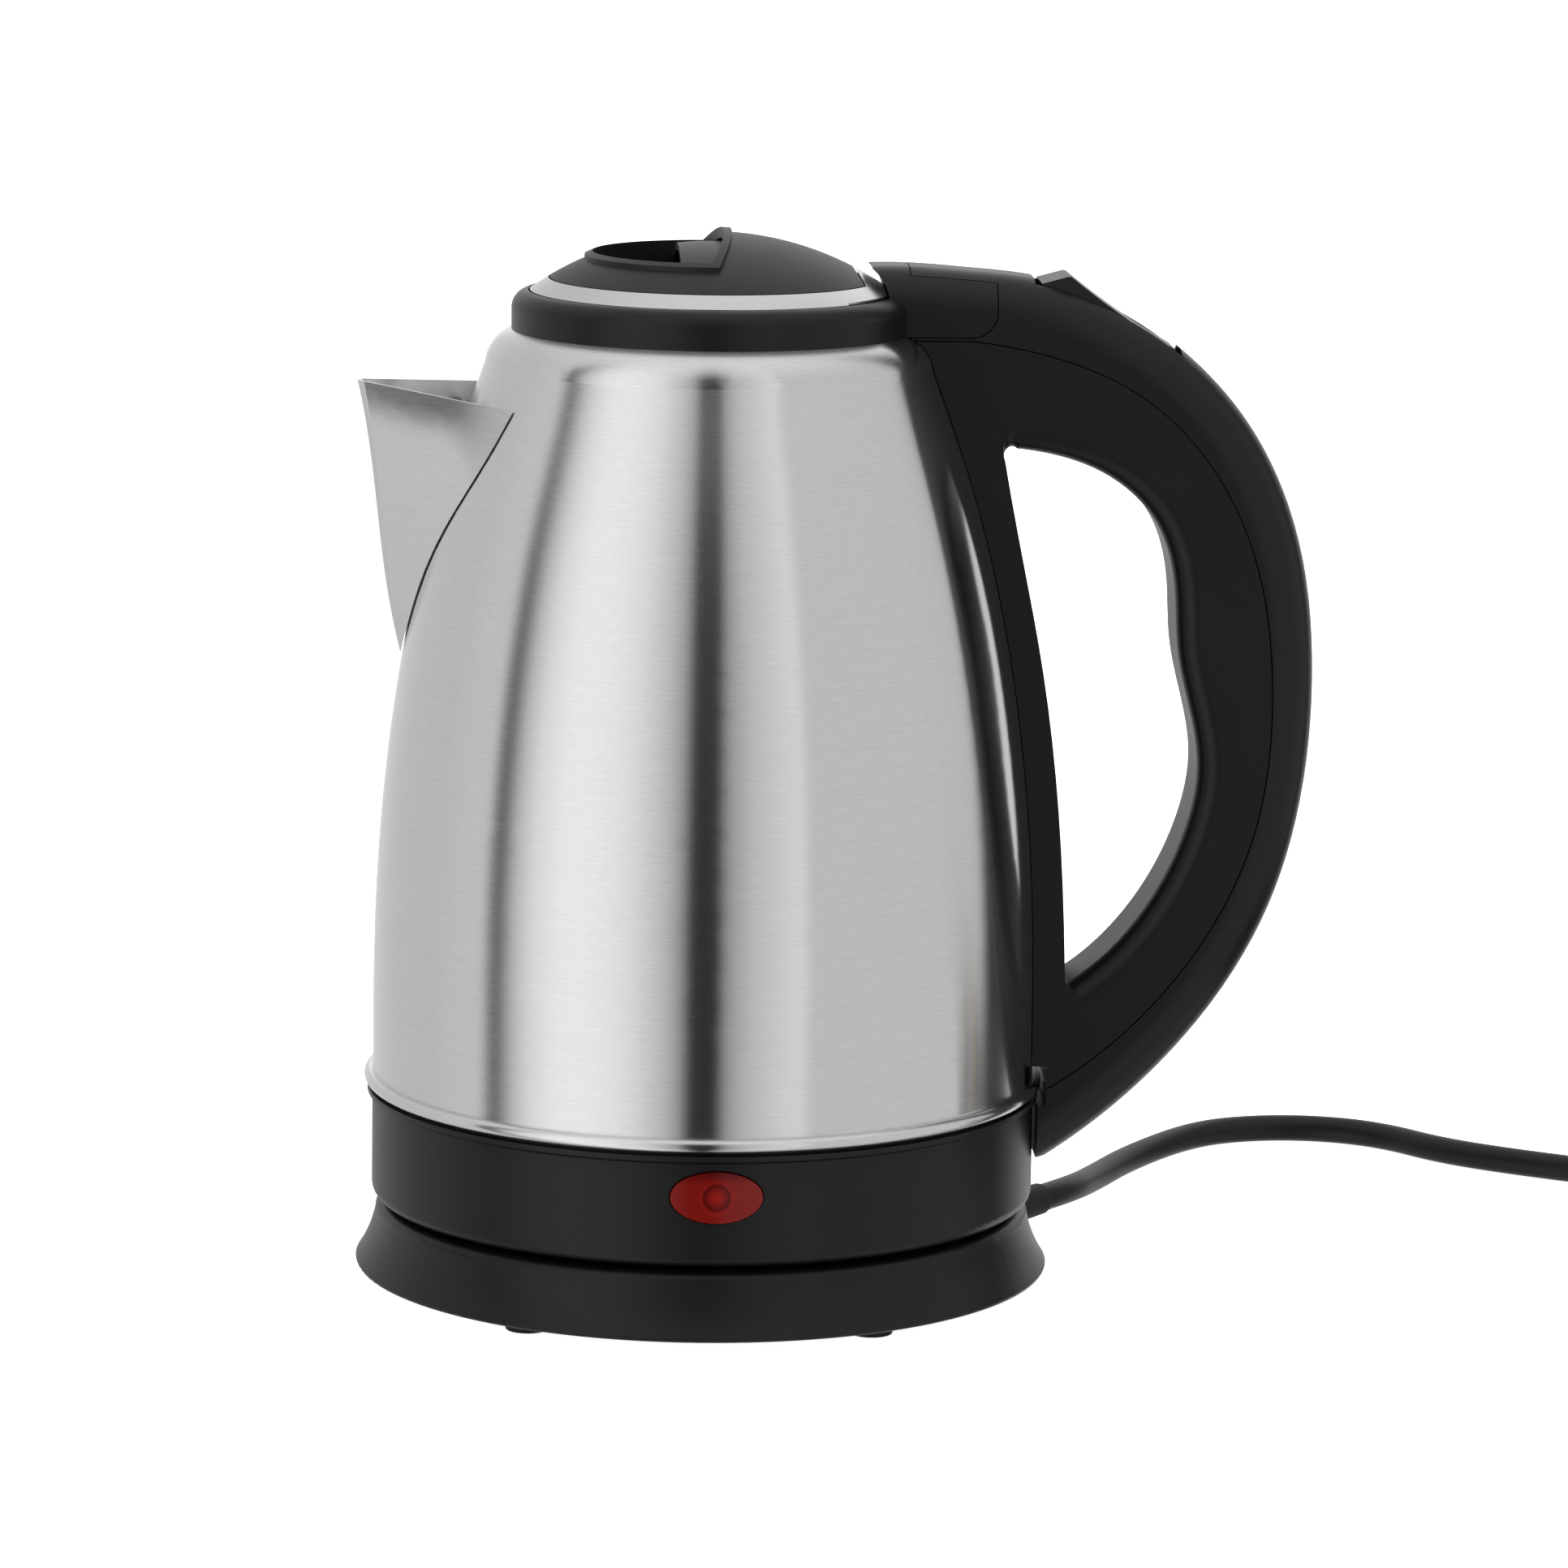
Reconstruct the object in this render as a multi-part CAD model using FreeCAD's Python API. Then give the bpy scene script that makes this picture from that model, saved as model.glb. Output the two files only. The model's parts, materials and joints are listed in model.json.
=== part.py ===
import FreeCAD, Part
import math
import os

V = FreeCAD.Vector
UP = V(0, 0, 1)
EAST = V(1, 0, 0)
NORTH = V(0, 1, 0)

# Cordless kettle on a round power base, in millimetres. +Z is up from the table, the handle
# points along +X, the spout along -X, and the origin is on the base's axis at the table.

# Clearances
run_gap = 0.3
fit_gap = 0.05
touch_gap = 0.1
lid_gap = 0.4

# Power base
foot_r = 5.0
foot_h = 3.4
foot_inset = 12.9
foot_angles = (52.3, 122.3, 232.3, 302.3)
foot_edge = 0.4
base_overhang = 3.8
base_h = 15.1
base_flare = 4.6
base_rim_round = 2.6
base_edge_round = 1.0
flare_dip = 0.5
base_wall = 2.2
skirt_wall = 2.6
dish_depth = 2.9
dish_rim_w = 5.8
plate_t = 2.0
base_screw_inset = 14.5
base_screw_angles = (0.0, 120.0, 240.0)
screw_r = 1.5
screw_head_r = 3.0
screw_head_h = 1.5
boss_r = 3.6

# Coupling between base and kettle
socket_r = 18.9
socket_h = 9.0
socket_flange = 4.1
socket_flange_t = 2.0
pin_hole_r = 3.6
pin_hole_depth = 11.4
ring_slot_r = 11.2
ring_slot_half = 1.6
ring_slot_depth = 9.2
contact_t = 1.1
contact_pin_r = 2.4
contact_pin_head_r = 4.0
contact_pin_head_t = 1.8
contact_ring_half = 0.6
connector_skirt = 2.8
connector_plate_t = 2.8
socket_headroom = 1.6

# Kettle bottom
stand_inset = 11.6
stand_w = 4.0
stand_h = 4.3
bottom_cover_t = 2.0
bottom_cover_inset = 4.6
shell_h = 24.2
shell_wall = 2.2
shell_round = 2.7
shell_drop = 0.5
shell_ledge = 3.0
lip_out = 1.1
lip_h = 1.2
lip_groove = 0.8
bead_out = 1.9
bead_h = 3.0
bead_round = 1.4
floor_t = 0.8
floor_lift = 0.8
heat_plate_inset = 27.1
heat_plate_t = 3.0
element_inset = 12.0
element_r = 3.4
element_sweep = 300.0
terminal_r = 1.5
terminal_len = 8.0
control_r = 22.0
disc_r = 7.0
disc_t = 0.6
disc_circle_r = 12.0
stud_inset = 20.1
stud_r = 3.2
stud_angles = (90.0, 210.0, 330.0)
stud_thread = 13.0

# Indicator lamp, on the side that faces -Y
lens_half_w = 10.4
lens_half_h = 5.85
lens_level = 13.9
lens_proud = 0.6
lens_flange = 2.0
lens_flange_t = 1.6
lens_tube_r = 4.0
lens_tube_len = 11.0
lamp_r = 2.8
lamp_len = 15.0

# Steel body: radius falls from body_r to neck_r over body_h. Each pair gives a share of the
# height and the share of the fall that is left there.
body_r = 77.1
neck_r = 46.0
body_h = 172.9
body_t = 0.8
neck_lip = 2.4
side_shape = ((0.25, 0.978), (0.52, 0.833), (0.816, 0.46), (0.955, 0.195))
shoulder_mid = (0.988, 0.105)
side_steps = 12
strainer_hole_r = 2.0
strainer_pitch = 6.4
strainer_rows = 6
strainer_low = 0.69
steam_hole_r = 4.0
steam_level = 0.935

# Spout: stations up the body (share of body_h), reach of its ridge and half width at the body
spout_t = 0.8
spout_nose_r = 4.0
spout_seam = 0.3
spout_root = 8.0
spout_stations = (
    (0.565, 0.5, 1.2),
    (0.68, 8.5, 12.6),
    (0.80, 16.4, 25.6),
    (0.90, 24.9, 31.0),
    (0.965, 31.0, 32.4),
)
spout_tip_share = 0.932
spout_rim_slope = 0.105

# Collar and lid
collar_h = 8.8
collar_shoulder_h = 4.3
collar_skirt = 3.7
collar_skirt_wall = 1.1
ledge_t = 2.0
mouth_r = 35.5
mouth_flat_x = 22.0
collar_lip = 0.4
lid_r = 41.8
dome_r = 37.3
dome_ball_r = 72.0
dome_edge_rise = 8.92
lid_skin = 1.6
trim_groove = 0.3
dome_axis_x = 24.5
dome_barrel_r = 10.3
hinge_x = 31.0
hinge_rise = 7.7
barrel_r = 8.5
lid_open_deg = 50.0
trim_rear_x = 29.5
trim_rear_in = 0.6
hinge_pin_r = 1.5
lug_r = 3.2
lug_w = 3.2
lug_y = 14.8
lid_wall_r = 41.4
lid_ring_w = 6.8
lid_floor_t = 2.0
lid_floor_rise = 2.7
lid_flat_x = 25.5
lid_rear_wall = 4.5
seal_r = 38.5
seal_w = 4.5
pan_t = 1.4
recess_r = 27.6
recess_wall = 1.6
recess_flat_x = 2.4
recess_bow_r = 112.0
rim_w = 1.8
rim_h = 1.0

# Latch in the lid
latch_travel = 4.0
bolt_short = 2.0
latch_t = 1.6
latch_half_w = 5.0
latch_grip_x = -8.0
latch_grip_half_w = 26.4
latch_grip_drop = 0.7
latch_riser_half = 1.5
latch_riser_half_w = 8.0
latch_tuck = 1.2
spring_coil_r = 2.2
spring_wire_r = 0.3
spring_turns = 5
spring_len = 11.4
spring_post_t = 2.0

# Handle: outlines in the plane of symmetry. Heights are shares of body_h above the body's foot,
# reaches are measured outwards from the body's foot radius.
grip_half_w = 14.0
grip_round = 10.0
gap_round = 5.0
handle_outline = (
    (-2.3, 1.073),
    (15.2, 1.037),
    (32.7, 0.9717),
    (46.4, 0.886),
    (59.7, 0.7125),
    (63.0, 0.559),
    (61.8, 0.405),
    (54.0, 0.227),
    (34.7, 0.046),
)
handle_end = (3.6, -0.1134)
handle_end_gap = 0.3
gap_top_bulge = 1.2
gap_outline = (
    (-7.1, 0.850),
    (3.6, 0.839),
    (13.0, 0.818),
    (25.2, 0.7535),
    (29.9, 0.667),
    (31.0, 0.579),
    (36.1, 0.425),
    (33.5, 0.336),
    (26.5, 0.247),
    (13.8, 0.157),
    (7.2, 0.1275),
)
gap_strap = (
    (6.1, 0.134),
    (5.7, 0.2),
    (4.3, 0.334),
    (-1.1, 0.576),
    (-5.7, 0.707),
    (-10.2, 0.838),
)
seam_outline = (
    (-9.4, 0.987),
    (1.8, 0.972),
    (20.6, 0.924),
    (44.7, 0.755),
    (52.6, 0.526),
    (49.3, 0.338),
    (31.3, 0.136),
    (2.5, -0.012),
)
seam_drop = 1.0
seam_groove_w = 0.3
seam_groove_depth = 2.0
cavity_half_w = 7.5
cavity_outer = (
    (-9.1, 1.053),
    (2.9, 1.041),
    (14.9, 1.012),
    (29.9, 0.955),
    (42.9, 0.868),
    (55.9, 0.706),
    (59.4, 0.559),
    (58.2, 0.408),
    (50.7, 0.237),
    (31.9, 0.064),
    (14.9, -0.028),
)
cavity_inner = (
    (10.9, 0.095),
    (17.9, 0.150),
    (29.9, 0.235),
    (37.2, 0.331),
    (40.1, 0.426),
    (35.1, 0.579),
    (33.9, 0.672),
    (28.9, 0.767),
    (15.4, 0.8395),
    (4.9, 0.8625),
    (-7.1, 0.874),
)
arm_end = 18.6
arm_corner_r = 6.0
tongue_rise = 1.2
tongue_start = -1.0
tongue_half_w = 9.5
bridge_top = ((-16.0, 1.0865), (-1.0, 1.089), (14.0, 1.083))
part_gap = 0.25
mount_stud_r = 2.0
mount_studs = ((0.899, -3.0), (0.061, 18.6))
nut_flats = 7.0
nut_t = 3.0
nut_back = 1.0
steam_block_x = -1.0
steam_block_len = 16.0
steam_block_low = 0.888
steam_block_h = 16.0
steam_disc_r = 6.0
steam_disc_t = 0.8

# Rocker switch on the handle
rocker_half_w = 8.0
rocker_nose = (4.6, 1.0793)
rocker_back = (29.1, 0.9825)
rocker_start = (-1.9, 1.069)
rocker_dip = (16.6, 1.0275)
rocker_low_back = (27.6, 0.955)
rocker_low_front = (-0.7, 1.030)
rocker_pivot = (13.2, 1.0075)
rocker_pin_r = 1.2
rocker_pin_bite = 1.6
rocker_nose_round = 1.2
rocker_room_x = (-3.5, 30.6)
rocker_room_low = 5.5

# Mains lead
cord_d = 6.6
cord_lift = 0.1
cord_exit_z = 7.0
gland_len = 30.0
gland_big_r = 4.5
gland_small_r = 3.8
gland_flange = 1.4
gland_flange_t = 2.0
lead_points = (
    (83.6, 44.5, 7.0),
    (91.5, 54.0, 7.0),
    (99.3, 76.6, 4.2),
    (111.5, 104.0, 3.4),
    (130.0, 130.2, 3.4),
    (145.7, 138.2, 3.4),
    (163.3, 138.2, 3.4),
    (179.0, 130.2, 3.4),
    (192.0, 112.3, 3.4),
    (211.4, 98.2, 3.4),
    (233.9, 85.2, 3.4),
    (257.0, 78.0, 3.8),
    (275.0, 74.9, 4.6),
    (292.9, 72.7, 4.6),
)
lead_arc_share = 0.45
coil_r = 40.5
coil_pitch = 7.6
coil_layer = 7.2
coil_turns = 2.5
coil_least_gap = 0.4
coil_tail = 2.0
tie_w = 9.0
tie_t = 0.8
tie_turn = 1.5
tie_slack = 0.7

# Plug: a moulded three-pin plug that lies on its back with the pins up
plug_neck_len = 18.0
plug_neck_r = 5.4
plug_len = 47.0
plug_w = 50.0
plug_tail_w = 28.0
plug_h = 21.0
plug_corner_r = 5.0
plug_edge = 2.0
pin_line_x = 14.0
pin_spacing = 22.2
pin_w = 6.35
pin_t = 4.0
pin_len = 17.7
earth_w = 4.0
earth_t = 8.0
earth_len = 22.7
earth_offset = 22.2
pin_root = 3.0
fuse_w = 9.0
fuse_len = 26.0
fuse_t = 1.4
fuse_x = 8.0

# Radii that follow the body's foot
base_r = body_r + base_overhang
base_rim_r = base_r - base_flare
dish_r = base_rim_r - dish_rim_w
foot_circle_r = base_r - foot_inset
base_screw_circle_r = dish_r - base_screw_inset
stand_r = body_r - stand_inset
bottom_cover_r = body_r - bottom_cover_inset
stud_circle_r = body_r - stud_inset
heat_plate_r = body_r - heat_plate_inset
element_ring_r = heat_plate_r - element_inset

# Levels up the stack
plate_top = foot_h + plate_t
rim_z = foot_h + base_h
dish_z = rim_z - dish_depth
deck_z = dish_z - base_wall
stand_z = dish_z + run_gap
cover_z = stand_z + stand_h
cover_top = cover_z + bottom_cover_t
bead_z = cover_top + shell_h
body_z = bead_z + bead_h
floor_z = bead_z + floor_lift
heat_z = floor_z - heat_plate_t
neck_z = body_z + body_h
shell_r = body_r + 0.1
socket_top = dish_z + socket_h
collar_top = neck_z + collar_h
ledge_z = neck_z - collar_skirt
ledge_top = ledge_z + ledge_t
ball_z = neck_z + dome_edge_rise - math.sqrt(dome_ball_r ** 2 - lid_r ** 2)
hinge_z = neck_z + hinge_rise
lid_floor_z = neck_z + lid_floor_rise
lid_floor_top = lid_floor_z + lid_floor_t
recess_floor_z = lid_floor_top + 2 * run_gap + latch_t
tall = neck_z + body_h
dome_low = hinge_z + 1


def xz(x, z, y=0.0):
    return V(x, y, z)


def line(a, b):
    return Part.LineSegment(a, b).toShape()


def arc(a, mid, b):
    return Part.Arc(a, mid, b).toShape()


def spline(points, start=None, end=None):
    curve = Part.BSplineCurve()
    if start is None:
        curve.interpolate(Points=points)
    else:
        curve.interpolate(Points=points, InitialTangent=start, FinalTangent=end)
    return curve.toShape()


def polygon(points):
    return Part.makePolygon(list(points) + [points[0]])


def round_corner(r0, z0, r1, z1, out=True):
    """Quarter round from one point to another, bulging away from the axis at the start or end."""
    mid_r = r0 + (r1 - r0) * (math.sin(math.pi / 4) if out else 1 - math.sin(math.pi / 4))
    mid_z = z0 + (z1 - z0) * (1 - math.sin(math.pi / 4) if out else math.sin(math.pi / 4))
    return arc(xz(r0, z0), xz(mid_r, mid_z), xz(r1, z1))


def lathe_wire(wire, turn=360):
    return Part.Face(wire).revolve(V(0, 0, 0), UP, turn)


def lathe(*points):
    return lathe_wire(polygon([xz(r, z) for r, z in points]))


def disc(r, z0, z1, x=0.0, y=0.0):
    return Part.makeCylinder(r, z1 - z0, V(x, y, z0), UP)


def tube(r_in, r_out, z0, z1, x=0.0, y=0.0):
    return disc(r_out, z0, z1, x, y).cut(disc(r_in, z0, z1, x, y))


def rod_y(r, half, x, z):
    return Part.makeCylinder(r, 2 * half, V(x, -half, z), NORTH)


def box(x0, x1, y0, y1, z0, z1):
    return Part.makeBox(x1 - x0, y1 - y0, z1 - z0, V(x0, y0, z0))


def slab(wire, half):
    """Solid from a closed outline in the XZ plane, the same thickness to each side."""
    face = Part.Face(wire)
    face.translate(V(0, -half, 0))
    return face.extrude(V(0, 2 * half, 0))


def around(angles, radius):
    for degrees in angles:
        turn = math.radians(degrees)
        yield radius * math.cos(turn), radius * math.sin(turn)


def ball(r):
    return Part.makeSphere(r, V(0, 0, ball_z))


def fuse_all(shapes):
    whole = shapes[0]
    if len(shapes) > 1:
        whole = whole.fuse(shapes[1:])
    return whole.removeSplitter()


def group(shapes):
    return Part.makeCompound(shapes)


def up_body(share):
    return body_z + share * body_h


def from_body(point):
    """Point of the handle: reach outwards from the body's foot, share of the body's height."""
    reach, share = point
    return xz(body_r + reach, up_body(share))


def biarc(p0, t0, p1, t1):
    """Two arcs that leave p0 along t0, meet smoothly and reach p1 along t1."""
    span = p1 - p0
    both = t0 + t1
    a = 2 * (1 - t0.dot(t1))
    b = 2 * span.dot(both)
    c = -span.dot(span)
    reach = -c / b if a < 1e-9 else (-b + math.sqrt(b * b - 4 * a * c)) / (2 * a)
    meet = (p0 + p1 + (t0 - t1) * reach) * 0.5
    return [arc_along(p0, t0, meet), arc_along(p1, t1 * -1, meet, True)]


def arc_along(start, tangent, end, backwards=False):
    chord = end - start
    side = chord - tangent * chord.dot(tangent)
    if side.Length < 1e-7 * chord.Length:
        return line(end, start) if backwards else line(start, end)
    side.normalize()
    radius = chord.dot(chord) / (2 * chord.dot(side))
    centre = start + side * radius
    mid = (start + end) * 0.5 - centre
    mid.normalize()
    middle = centre + mid * radius
    return arc(end, middle, start) if backwards else arc(start, middle, end)


def smooth_path(points, tangents):
    edges = []
    for i in range(len(points) - 1):
        edges.extend(biarc(points[i], tangents[i], points[i + 1], tangents[i + 1]))
    return edges


def pipe(edges, r):
    path = Part.Wire(edges)
    start = edges[0].valueAt(edges[0].FirstParameter)
    heading = edges[0].tangentAt(edges[0].FirstParameter)
    ring = Part.Wire(Part.makeCircle(r, start, heading))
    solid = path.makePipeShell([ring], True, False)
    return solid, path.Length


def side_curve():
    """Outer outline of the steel side, from the foot to the start of the shoulder."""
    fall = body_r - neck_r
    points = [xz(body_r, body_z)]
    for share, left in side_shape:
        points.append(xz(neck_r + fall * left, up_body(share)))
    slope = points[-1] - points[-2]
    return spline(points, V(0, 0, body_h / 2), slope)


def moved_out(edge, share, grow):
    """Point of an outline moved outwards along its normal, with the outline's direction there."""
    at = edge.FirstParameter + share * (edge.LastParameter - edge.FirstParameter)
    along = edge.tangentAt(at)
    return edge.valueAt(at) + V(along.z, 0, -along.x) * grow, along


def body_form(grow=0.0):
    """Full steel form as a solid, grown outwards or shrunk by a distance."""
    side = side_curve()
    fall = body_r - neck_r
    mid = xz(neck_r + fall * shoulder_mid[1], up_body(shoulder_mid[0]))
    shoulder = arc(side.valueAt(side.LastParameter), mid, xz(neck_r, neck_z))
    if grow:
        moved = [moved_out(side, i / side_steps, grow) for i in range(side_steps + 1)]
        round_points = [moved_out(shoulder, share, grow)[0] for share in (0.5, 1.0)]
        side = spline([p for p, along in moved], moved[0][1], moved[-1][1])
        shoulder = arc(moved[-1][0], *round_points)
    foot = side.valueAt(side.FirstParameter)
    top = shoulder.valueAt(shoulder.LastParameter)
    edges = [side, shoulder, line(top, xz(0, top.z)), line(xz(0, top.z), xz(0, foot.z))]
    return lathe_wire(Part.Wire(edges + [line(xz(0, foot.z), foot)]))


def body_radius(z):
    edge = side_curve()
    low, high = edge.FirstParameter, edge.LastParameter
    for _ in range(40):
        mid = (low + high) / 2
        if edge.valueAt(mid).z < z:
            low = mid
        else:
            high = mid
    return edge.valueAt((low + high) / 2).x


# Power base

def base_cover():
    inner_r = base_rim_r - skirt_wall + 0.5
    flare_top = xz(base_rim_r, rim_z - base_rim_round)
    flare_low = xz(base_r, foot_h + base_edge_round)
    flare_mid = (flare_top + flare_low) * 0.5 - V(flare_dip, 0, flare_dip)
    bottom = xz(base_r - base_edge_round, foot_h)
    rim_in = xz(base_rim_r - base_rim_round, rim_z)
    edges = [
        line(xz(inner_r, foot_h), bottom),
        round_corner(bottom.x, bottom.z, flare_low.x, flare_low.z),
        arc(flare_low, flare_mid, flare_top),
        round_corner(flare_top.x, flare_top.z, rim_in.x, rim_in.z, False),
        line(rim_in, xz(dish_r + dish_depth * 0.8, rim_z)),
        line(xz(dish_r + dish_depth * 0.8, rim_z), xz(dish_r, dish_z)),
    ]
    points = [(dish_r, dish_z), (socket_r + run_gap, dish_z), (socket_r + run_gap, deck_z)]
    points += [(inner_r, deck_z), (inner_r, foot_h)]
    for (r0, z0), (r1, z1) in zip(points, points[1:]):
        edges.append(line(xz(r0, z0), xz(r1, z1)))
    cover = lathe_wire(Part.Wire(edges))
    posts = []
    for x, y in around(base_screw_angles, base_screw_circle_r):
        posts.append(disc(boss_r, plate_top, deck_z, x, y))
    cover = fuse_all([cover] + posts)
    for x, y in around(base_screw_angles, base_screw_circle_r):
        cover = cover.cut(disc(screw_r + fit_gap, plate_top, deck_z - 1.0, x, y))
    return cover.cut(gland_room())


def base_plate():
    plate = disc(base_rim_r - skirt_wall + 0.5 - run_gap, foot_h, plate_top)
    for x, y in around(base_screw_angles, base_screw_circle_r):
        plate = plate.cut(disc(screw_r + 0.2, foot_h, plate_top, x, y))
    return plate.cut(gland_room(True))


def base_feet():
    feet = []
    for x, y in around(foot_angles, foot_circle_r):
        pad = disc(foot_r, 0, foot_h, x, y)
        low = [e for e in pad.Edges if abs(e.CenterOfMass.z) < 1e-6]
        feet.append(pad.makeFillet(foot_edge, low))
    return group(feet)


def screw_up(x, y, seat_z, length):
    head = disc(screw_head_r, seat_z - screw_head_h, seat_z, x, y)
    slot = box(x - screw_head_r, x + screw_head_r, y - 0.4, y + 0.4,
               seat_z - screw_head_h, seat_z - screw_head_h / 2)
    return fuse_all([head, disc(screw_r, seat_z, seat_z + length, x, y)]).cut(slot)


def base_screws():
    length = deck_z - foot_h - 2.0
    spots = around(base_screw_angles, base_screw_circle_r)
    return group([screw_up(x, y, foot_h, length) for x, y in spots])


def base_socket():
    boss = disc(socket_r, deck_z - socket_flange_t, socket_top)
    flange = disc(socket_r + socket_flange, deck_z - socket_flange_t, deck_z)
    socket = fuse_all([boss, flange])
    socket = socket.cut(disc(pin_hole_r, socket_top - pin_hole_depth, socket_top))
    slot = tube(ring_slot_r - ring_slot_half, ring_slot_r + ring_slot_half,
                socket_top - ring_slot_depth, socket_top)
    return socket.cut(slot)


def base_contacts():
    ring_z = socket_top - ring_slot_depth
    pin_z = socket_top - pin_hole_depth
    ring = tube(ring_slot_r - ring_slot_half + 0.2, ring_slot_r + ring_slot_half - 0.2,
                ring_z, ring_z + contact_t)
    return group([ring, disc(pin_hole_r - run_gap, pin_z, pin_z + contact_t)])


# Coupling and kettle bottom

connector_low = cover_z + shell_drop
connector_plate_z = socket_top + socket_headroom
connector_plate_top = connector_plate_z + connector_plate_t
connector_top = connector_plate_top + contact_pin_head_t + 2 * run_gap
control_top = heat_z - disc_t


def contact_pin():
    low = socket_top - pin_hole_depth + contact_t + run_gap
    head_z = connector_plate_top + fit_gap
    shank = disc(contact_pin_r, low, head_z)
    return fuse_all([shank, disc(contact_pin_head_r, head_z, head_z + contact_pin_head_t)])


def kettle_connector():
    inner = socket_r + 3 * run_gap
    outer = inner + connector_skirt
    body = disc(outer, connector_low, connector_top)
    body = body.cut(disc(inner, connector_low, connector_plate_z))
    body = body.cut(disc(contact_pin_r + fit_gap, connector_plate_z, connector_plate_top))
    return body.cut(disc(contact_pin_head_r + 1.0, connector_plate_top, connector_top))


def kettle_contact_ring():
    low = socket_top - ring_slot_depth + contact_t + run_gap
    return tube(ring_slot_r - contact_ring_half, ring_slot_r + contact_ring_half,
                low, connector_plate_z)


def bottom_cover():
    hole = socket_r + 3 * run_gap + connector_skirt + run_gap
    cover = lathe(
        (hole, cover_z), (stand_r - stand_w, cover_z), (stand_r - stand_w, stand_z),
        (stand_r, stand_z), (stand_r, cover_z), (bottom_cover_r, cover_z),
        (bottom_cover_r, cover_top), (hole, cover_top))
    for x, y in around(stud_angles, stud_circle_r):
        cover = cover.cut(disc(screw_r + 0.2, cover_z, cover_top, x, y))
    return cover


def floor_studs():
    studs = []
    for x, y in around(stud_angles, stud_circle_r):
        stud = disc(stud_r, cover_top, floor_z, x, y)
        studs.append(stud.cut(disc(screw_r + fit_gap, cover_top, cover_top + stud_thread, x, y)))
    return group(studs)


def bottom_screws():
    length = bottom_cover_t + stud_thread - 1.0
    spots = around(stud_angles, stud_circle_r)
    return group([screw_up(x, y, cover_z, length) for x, y in spots])


def lens_z():
    return cover_top + lens_level


def lens_column(grow, y0, y1):
    """Oval bar along Y through the lamp's place."""
    oval = Part.Ellipse(V(0, 0, 0), lens_half_w + grow, lens_half_h + grow).toShape()
    face = Part.Face(Part.Wire(oval))
    face.rotate(V(0, 0, 0), EAST, 90)
    face.translate(V(0, y1, lens_z()))
    return face.extrude(V(0, y0 - y1, 0))


def bottom_shell():
    low = cover_z - shell_drop
    inner = shell_r - shell_wall
    lip_z = bead_z - lip_groove
    corner = xz(shell_r - shell_round, low)
    points = [
        (shell_r, lip_z - lip_h - 0.7), (shell_r + lip_out, lip_z - lip_h),
        (shell_r + lip_out, lip_z), (inner + 1.5, lip_z), (inner + 1.5, bead_z),
        (inner, bead_z), (inner, cover_top + shell_wall),
        (bottom_cover_r - shell_ledge, cover_top + shell_wall),
        (bottom_cover_r - shell_ledge, cover_top), (bottom_cover_r + run_gap, cover_top),
        (bottom_cover_r + run_gap, low), (corner.x, low)]
    edges = [round_corner(corner.x, low, shell_r, low + shell_round)]
    edges.append(line(xz(shell_r, low + shell_round), xz(*points[0])))
    for (r0, z0), (r1, z1) in zip(points, points[1:]):
        edges.append(line(xz(r0, z0), xz(r1, z1)))
    shell = lathe_wire(Part.Wire(edges))
    return shell.cut(lens_column(run_gap, -shell_r - 5, -shell_r + 12))


def indicator_lens():
    inner = shell_r - shell_wall
    face_r = shell_r + lens_proud
    back_r = inner - run_gap - lens_flange_t
    plug = lens_column(0, -shell_r - 5, -back_r + 5)
    plug = plug.common(tube(back_r, face_r, lens_z() - 20, lens_z() + 20))
    flange = lens_column(lens_flange, -shell_r - 5, -back_r + 5)
    flange = flange.common(tube(back_r, inner - run_gap, lens_z() - 20, lens_z() + 20))
    sleeve = Part.makeCylinder(lens_tube_r, lens_tube_len, V(0, -back_r - 0.5, lens_z()), NORTH)
    lens = fuse_all([plug, flange, sleeve])
    bore = Part.makeCylinder(lamp_r + 0.2, lens_tube_len, V(0, -back_r - 0.5, lens_z()), NORTH)
    return lens.cut(bore)


def neon_lamp():
    back_r = shell_r - shell_wall - run_gap - lens_flange_t
    start = V(0, -back_r - 0.5 + run_gap, lens_z())
    bulb = Part.makeCylinder(lamp_r, lamp_len, start, NORTH)
    tip = [e for e in bulb.Edges if abs(e.CenterOfMass.y - start.y) < 1e-6]
    return bulb.makeFillet(lamp_r / 2, tip)


def floor_pan():
    inner = shell_r - shell_wall + 0.2
    wide = body_r + bead_out
    low = xz(wide - bead_round, bead_z)
    high = xz(wide - bead_round, body_z)
    top = floor_z + floor_t
    edges = [
        line(xz(0, floor_z), xz(inner, floor_z)),
        line(xz(inner, floor_z), xz(inner, bead_z)),
        line(xz(inner, bead_z), low),
        arc(low, xz(wide, (bead_z + body_z) / 2), high),
        line(high, xz(body_r - body_t - run_gap, body_z)),
        line(xz(body_r - body_t - run_gap, body_z), xz(body_r - body_t - run_gap, top)),
        line(xz(body_r - body_t - run_gap, top), xz(0, top)),
        line(xz(0, top), xz(0, floor_z)),
    ]
    return lathe_wire(Part.Wire(edges))


def heat_plate():
    return disc(heat_plate_r, heat_z, floor_z)


def element_wire_z():
    return heat_z - element_r - touch_gap


def heating_element():
    start = math.radians((360 - element_sweep) / 2)
    centre = V(element_ring_r * math.cos(start), element_ring_r * math.sin(start), element_wire_z())
    heading = V(-math.sin(start), math.cos(start), 0)
    ring = Part.Face(Part.Wire(Part.makeCircle(element_r, centre, heading)))
    return ring.revolve(V(0, 0, 0), UP, element_sweep)


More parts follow.
